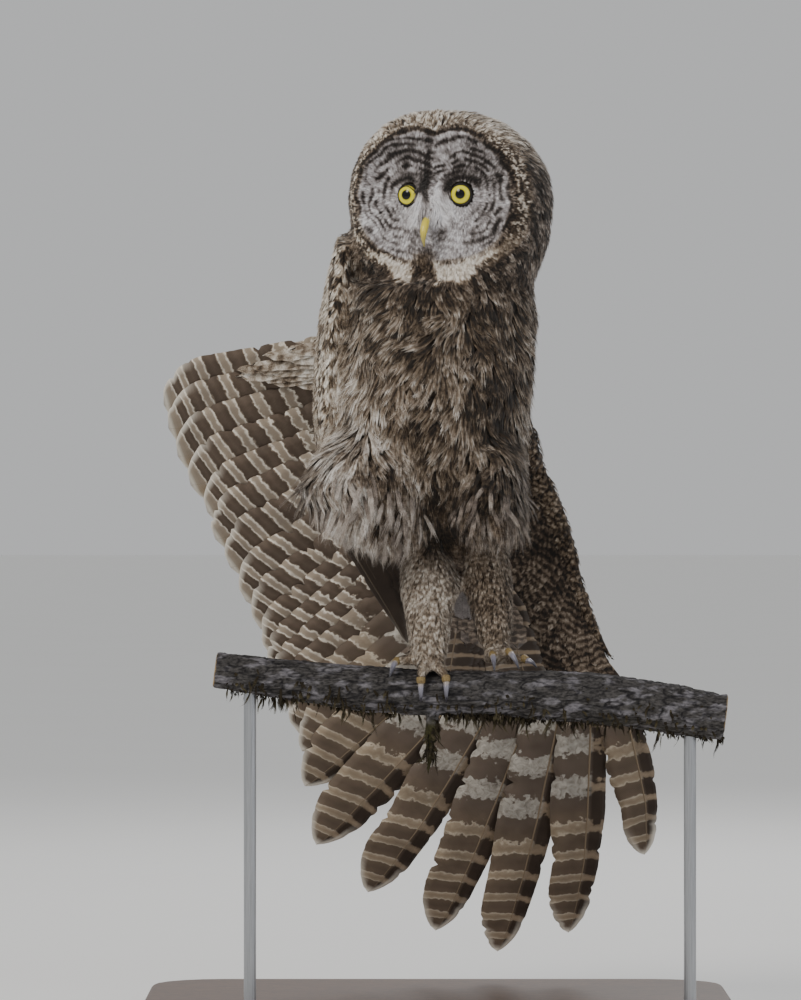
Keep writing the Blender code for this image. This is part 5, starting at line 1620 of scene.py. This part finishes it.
def make_coat(skin, points, normals, weights, face, size):
    """Scatters the tufts over the skin and makes each part's coat as its own piece."""
    mesh = skin.data
    mesh.calc_loop_triangles()
    triangles = np.array([t.vertices[:] for t in mesh.loop_triangles])
    corners = np.array([t.loops[:] for t in mesh.loop_triangles])
    uv = read(mesh.uv_layers["OFBake"].data, "uv", 2)
    lie = lie_of_coat(points, normals, weights, face)
    picked, shares = scatter(points, triangles, size[:, 3])

    def at_root(field):
        return (field[triangles[picked]] * shares.reshape(len(picked), 3, *([1] * (field.ndim - 1)))).sum(1)

    root, up = at_root(points), unit(at_root(normals))
    count = len(picked)
    sizes = at_root(size)
    part = {name: at_root(weights[name]) for name in FLESH}
    thigh = part["thigh_right"] + part["thigh_left"]
    unruly = part["trunk"] + part["neck"] + thigh
    place = in_face(root)
    way = in_locks(root, up, at_root(lie), unruly)
    way, lore, bristle = fanned(place, way)
    loose = thigh * (1 - smooth_step(HEM, HEM + 0.027, root[:, 2]))
    longer = 1 + 0.7 * loose + 0.9 * np.maximum(lore, 1.4 * bristle)
    length = sizes[:, 1] * chance.uniform(0.80, 1.20, count) * longer
    tree = BVHTree.FromPolygons(points.tolist(), triangles.tolist())
    free = np.maximum(loose, 0.8 * smooth_step(0.4, 0.8, bristle))[:, None]
    path, ups = lay_paths(tree, root - up * 0.0006, up, way, length, free)
    tufts = {
        "root": root, "path": path, "up": ups, "length": length, "depth": sizes[:, 0],
        "width": sizes[:, 2] * chance.uniform(0.85, 1.15, count), "pick": chance.random(count),
        "stand": 0.04 * thigh + 0.02 + 0.13 * unruly * chance.random(count), "face": at_root(face),
        "uv": (uv[corners[picked]] * shares[:, :, None]).sum(1), "way": way, "normal": up,
    }
    hidden = eye_or_bill(place)
    names = np.array(FLESH)[np.argmax(np.stack([part[name] for name in FLESH]), 0)]
    back = root[:, 1] > centre("trunk")[1]
    on_face = tufts["face"] > 0.5
    groups = {
        "coat_face": (on_face, 5, 4),
        "coat_crown": ((names == "head") & ~on_face & (place[:, 1] < 0.030), 6, 4),
        "coat_nape": ((names == "head") & ~on_face & (place[:, 1] >= 0.030), 6, 4),
        "coat_breast": (np.isin(names, ("neck", "trunk")) & ~back, 11, 6),
        "coat_back": (np.isin(names, ("neck", "trunk")) & back, 10, 5),
        "coat_thighs": (np.isin(names, ("thigh_right", "thigh_left")), 13, 6),
        "coat_legs": (np.isin(names, ("leg_right", "leg_left")), 8, 4),
        "coat_feet": (np.isin(names, ("foot_right", "foot_left")), 4, 3),
        "coat_folded_wing": (names == "wing_right", 8, 4),
        "coat_spread_arm": (np.isin(names, ("upper_arm_left", "forearm_left", "hand_left")), 7, 4),
        "coat_rump": (names == "tail_base", 9, 5),
    }
    for name, (mask, strands, stations) in groups.items():
        which = np.flatnonzero(mask & ~hidden)
        which = which[np.argsort(root[which, 2])]
        pieces = math.ceil(len(which) * strands * (2 * stations - 3) / MOST_TRIANGLES)
        for k, some in enumerate(np.array_split(which, pieces)):
            chosen = {key: value[some] for key, value in tufts.items()}
            chosen["weights"] = {key: value[some] for key, value in part.items()}
            tuft_piece(f"{name}_{k + 1}", chosen, strands, stations, markings)
    make_plumes(tree, tufts, thigh)


def make_plumes(tree, tufts, thigh):
    """Long loose plumes that hang from the thighs over the legs and the wing."""
    low = 1 - smooth_step(HEM + 0.005, HEM + 0.045, tufts["root"][:, 2])
    which = np.flatnonzero(chance.random(len(thigh)) < 0.36 * low * smooth_step(0.5, 0.9, thigh))
    chosen = {key: value[which] for key, value in tufts.items()}
    count = len(which)
    right = chosen["root"][:, 0] < centre("trunk")[0]
    way = unit(chosen["way"] + 0.22 * chosen["normal"] + chance.normal(0, 0.16, (count, 3)))
    length = chance.uniform(0.018, 0.034, count) * np.where(right, 1.0, 0.75)
    free = np.ones((count, 1))
    root = chosen["root"] + chosen["normal"] * 0.003
    chosen["path"], chosen["up"] = lay_paths(tree, root, chosen["normal"], way, length, free, 6)
    chosen["length"], chosen["width"] = length, chance.uniform(0.0040, 0.0066, count)
    chosen["stand"] = chance.uniform(-0.10, 0.12, count)
    tuft_piece("coat_plumes", chosen, 13, 7, plume_looks)


def eye_or_bill(place):
    """True where no tuft grows: on the eyeballs, inside the lids, and on the bill."""
    x, depth, z = place[:, 0], place[:, 1], place[:, 2]
    eye = np.hypot(np.abs(x) - eye_place(x), z) < 0.0080
    bill = (np.abs(x + BILL_SHIFT) < 0.0036) & (z > -0.040) & (z < -0.0215) & (depth < -0.006)
    return (eye & (depth < 0.004)) | bill


def make_pads():
    """Bare wrinkled skin at the end of each toe, round the root of its claw."""
    for name, root in CLAW_ROOTS.items():
        points, _ = solid_mesh(name)
        away = np.linalg.norm(points - root, axis=1)
        way = unit(points[away < 0.6 * away.max()].mean(0) - root)
        side = unit(np.cross(way, FACE_Z))
        up = np.cross(side, way)
        thick = np.linalg.norm(np.cross(points - root, way), axis=1)[away < 0.3 * away.max()].max()
        rings, sides = 14, 24
        rows = []
        for k in range(rings):
            share = k / (rings - 1)
            swell = math.sqrt(max(0.02, 1 - (1.7 * share - 0.75) ** 2))
            reach = (thick + 0.0002) * (0.74 + 0.26 * swell) * (1 + 0.035 * math.sin(2 * math.pi * 4 * share))
            at = root + way * (0.0052 * share - 0.0044)
            for turn in turns(sides):
                flat = side * math.cos(turn) + up * math.sin(turn) * (1.06 if math.sin(turn) < 0 else 0.94)
                rows.append(at + flat * reach)
        faces = grid_faces(rings, sides, closed=True)
        faces = [faces, ring_caps(rings, sides)]
        build(name.replace("claw", "pad"), np.array(rows), faces, {}, FINISH["pad"])


def make_moss():
    """Threads of moss and beard lichen under the branch and round its dead stub."""
    points, triangles = solid_mesh("perch")
    tree = BVHTree.FromPolygons(points.tolist(), triangles.tolist())
    low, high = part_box("perch")
    count = 1100
    x = chance.uniform(low.x + 0.006, high.x - 0.006, count)
    turn = chance.normal(0, 0.85, count)
    thick = noise(np.stack((x, turn * 0.01, x * 0), 1), (0.016, 0.01, 0.01), 41)
    around = np.stack((x, PERCH_Y + 0.05 * np.sin(turn), np.interp(x, *PERCH_AXIS) - 0.05 * np.cos(turn)), 1)
    stub = np.argsort(points[:, 2])[: len(points) // 12]
    tip, base = points[stub].mean(0), np.array((STUB_X, PERCH_Y - 0.006, STUB_TOP - 0.006))
    on_stub = chance.random(count) < 0.28
    down_stub = base + (tip - base) * chance.random((count, 1)) + chance.normal(0, 0.004, (count, 3))
    around[on_stub] = down_stub[on_stub]
    root, up = nearest(tree, around)
    length = 0.003 + 0.030 * np.clip(thick - 0.40, 0, 1) ** 1.5 + 0.018 * chance.random(count) ** 8
    length[on_stub] *= 0.8
    way = unit(0.35 * up + np.array((0, 0, -1.0)) + chance.normal(0, 0.40, (count, 3)))
    path, ups = [root - up * 0.0005], [up]
    for _ in range(5):
        path.append(path[-1] + way * (length / 5)[:, None])
        ups.append(up)
        way = unit(way + np.array((0, 0, -0.25)) + chance.normal(0, 0.32, (count, 3)))
    wisps = {
        "root": root, "path": np.stack(path, 1), "up": np.stack(ups, 1), "length": length,
        "width": chance.uniform(0.0014, 0.0038, count), "depth": np.full(count, 0.0004),
        "pick": chance.random(count), "stand": np.zeros(count),
        "uv": np.stack(((x - low.x) / (high.x - low.x), 0.5 + turn / 8), 1),
    }
    tuft_piece("moss_threads", wisps, 7, 6, moss_looks, "moss")


def main():
    """Makes every piece of the owl, its perch and its stand."""
    skin, points, normals, weights, face, size = make_skin()
    unwrap(skin)
    skin.data.materials.clear()
    skin.data.materials.append(FINISH["plumage"])
    plain = np.full(len(points), 0.5)
    own = {"root": points, "pick": plain, "weights": weights, "face": face, "length": 0 * plain}
    looks = markings(own, np.arange(len(points)), points, np.full(len(points), 0.35), np.zeros(len(points)))
    tell(skin.data, looks)
    settle(skin, FLESH)
    make_coat(skin, points, normals, weights, face, size)

    for k, name in enumerate(SECONDARIES):
        vane_feather(f"vane_{name}", *EDGES[name], SECONDARY, [name], seed=k)
    for k, name in enumerate(PRIMARIES):
        kind = {**PRIMARY, "inner": INNER_SHARES[k], "soft": smooth_step(-1.0, 3.0, float(k))}
        if k < ROUND_PRIMARIES:
            kind["tip"] = ROUND_TIP
        vane_feather(f"vane_{name}", *EDGES[name], kind, [name], seed=20 + k)
    leaf_piece("underwing_covert_vanes", covert_rows(UNDER_ROWS, 1), underwing_looks, [FEATHER_ROWS["under"]])
    leaf_piece("upperwing_covert_vanes", covert_rows(OVER_ROWS, -1), upperwing_looks, [FEATHER_ROWS["over"]])
    leaf_piece("shoulder_covert_vanes", covert_rows(SHOULDER_ROWS, 1), shoulder_looks)
    leaf_piece("undertail_covert_vanes", undertail_leaves(), undertail_looks)
    make_tail()
    make_folded_primaries()

    for side in ("right", "left"):
        make_eye(side)
        make_lids(side)
    bill_root = from_face(-BILL_SHIFT, -0.002, -0.018)
    # The lower half is drawn back under the bristles of the closed bill
    for name, back in (("bill_upper", 0.0), ("bill_lower", 0.0075)):
        make_horn(name, FINISH["bill"], 0.00050, 3, bill_root, -0.0003, back)
    for name in CLAWS:
        make_horn(name, FINISH["claw"], 0.00034, 3, CLAW_ROOTS[name], 0.00015)
    make_pads()
    make_perch()
    make_moss()
    steel = steel_finish()
    stand = {"stand_base": wood_finish(), "stand_rod_left": steel, "stand_rod_right": steel}
    for name, finish in stand.items():
        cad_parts[name].data.materials.clear()
        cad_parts[name].data.materials.append(finish)
    make_studio()
    make_camera()


def unwrap(skin):
    """Unwraps the skin by its own shape in a map named OFBake."""
    for layer in list(skin.data.uv_layers):
        skin.data.uv_layers.remove(layer)
    skin.data.uv_layers.new(name="OFBake")
    bpy.ops.object.select_all(action="DESELECT")
    bpy.context.view_layer.objects.active = skin
    skin.select_set(True)
    bpy.ops.object.mode_set(mode="EDIT")
    bpy.ops.mesh.select_all(action="SELECT")
    bpy.ops.uv.smart_project(angle_limit=1.15, island_margin=0.004)
    bpy.ops.object.mode_set(mode="OBJECT")


PERCH_Y = float(centre("stand_rod_left")[1])
PERCH_AXIS = perch_axis()
CLAW_ROOTS = {name: claw_root(name) for name in CLAWS}
EDGES = {name: measure(name, np.array((0.0, 1.0, 0.0)), 40) for name in SECONDARIES + PRIMARIES}
EDGES.update({name: measure(name, TAIL_UP, 24) for name in TAIL})
EDGES[FOLDED] = measure(FOLDED, np.array((0.0, 1.0, 0.0)), 24)
MIDLINES = np.array([(EDGES[name][0] + EDGES[name][1]) / 2 for name in SECONDARIES + PRIMARIES])
FINISH = {
    "plumage": plumage_finish(),
    "vane": vane_finish(),
    "eye": eye_finish(),
    "lid": lid_finish(),
    "bill": horn_finish("bill_horn_yellow", (
        (0.0, "#8f8a3a"), (0.25, "#cdbb3e"), (0.75, "#e2cf4c"), (1.0, "#8f8440")), 0.30, 0.0016),
    "claw": horn_finish("claw_horn_grey", (
        (0.0, "#b9a98c"), (0.30, "#8a8894"), (0.70, "#4d4b55"), (1.0, "#1d1c20")), 0.28, 0.0010),
    "bark": bark_finish(),
    "moss": moss_finish(),
    "pad": pad_finish(),
}
main()
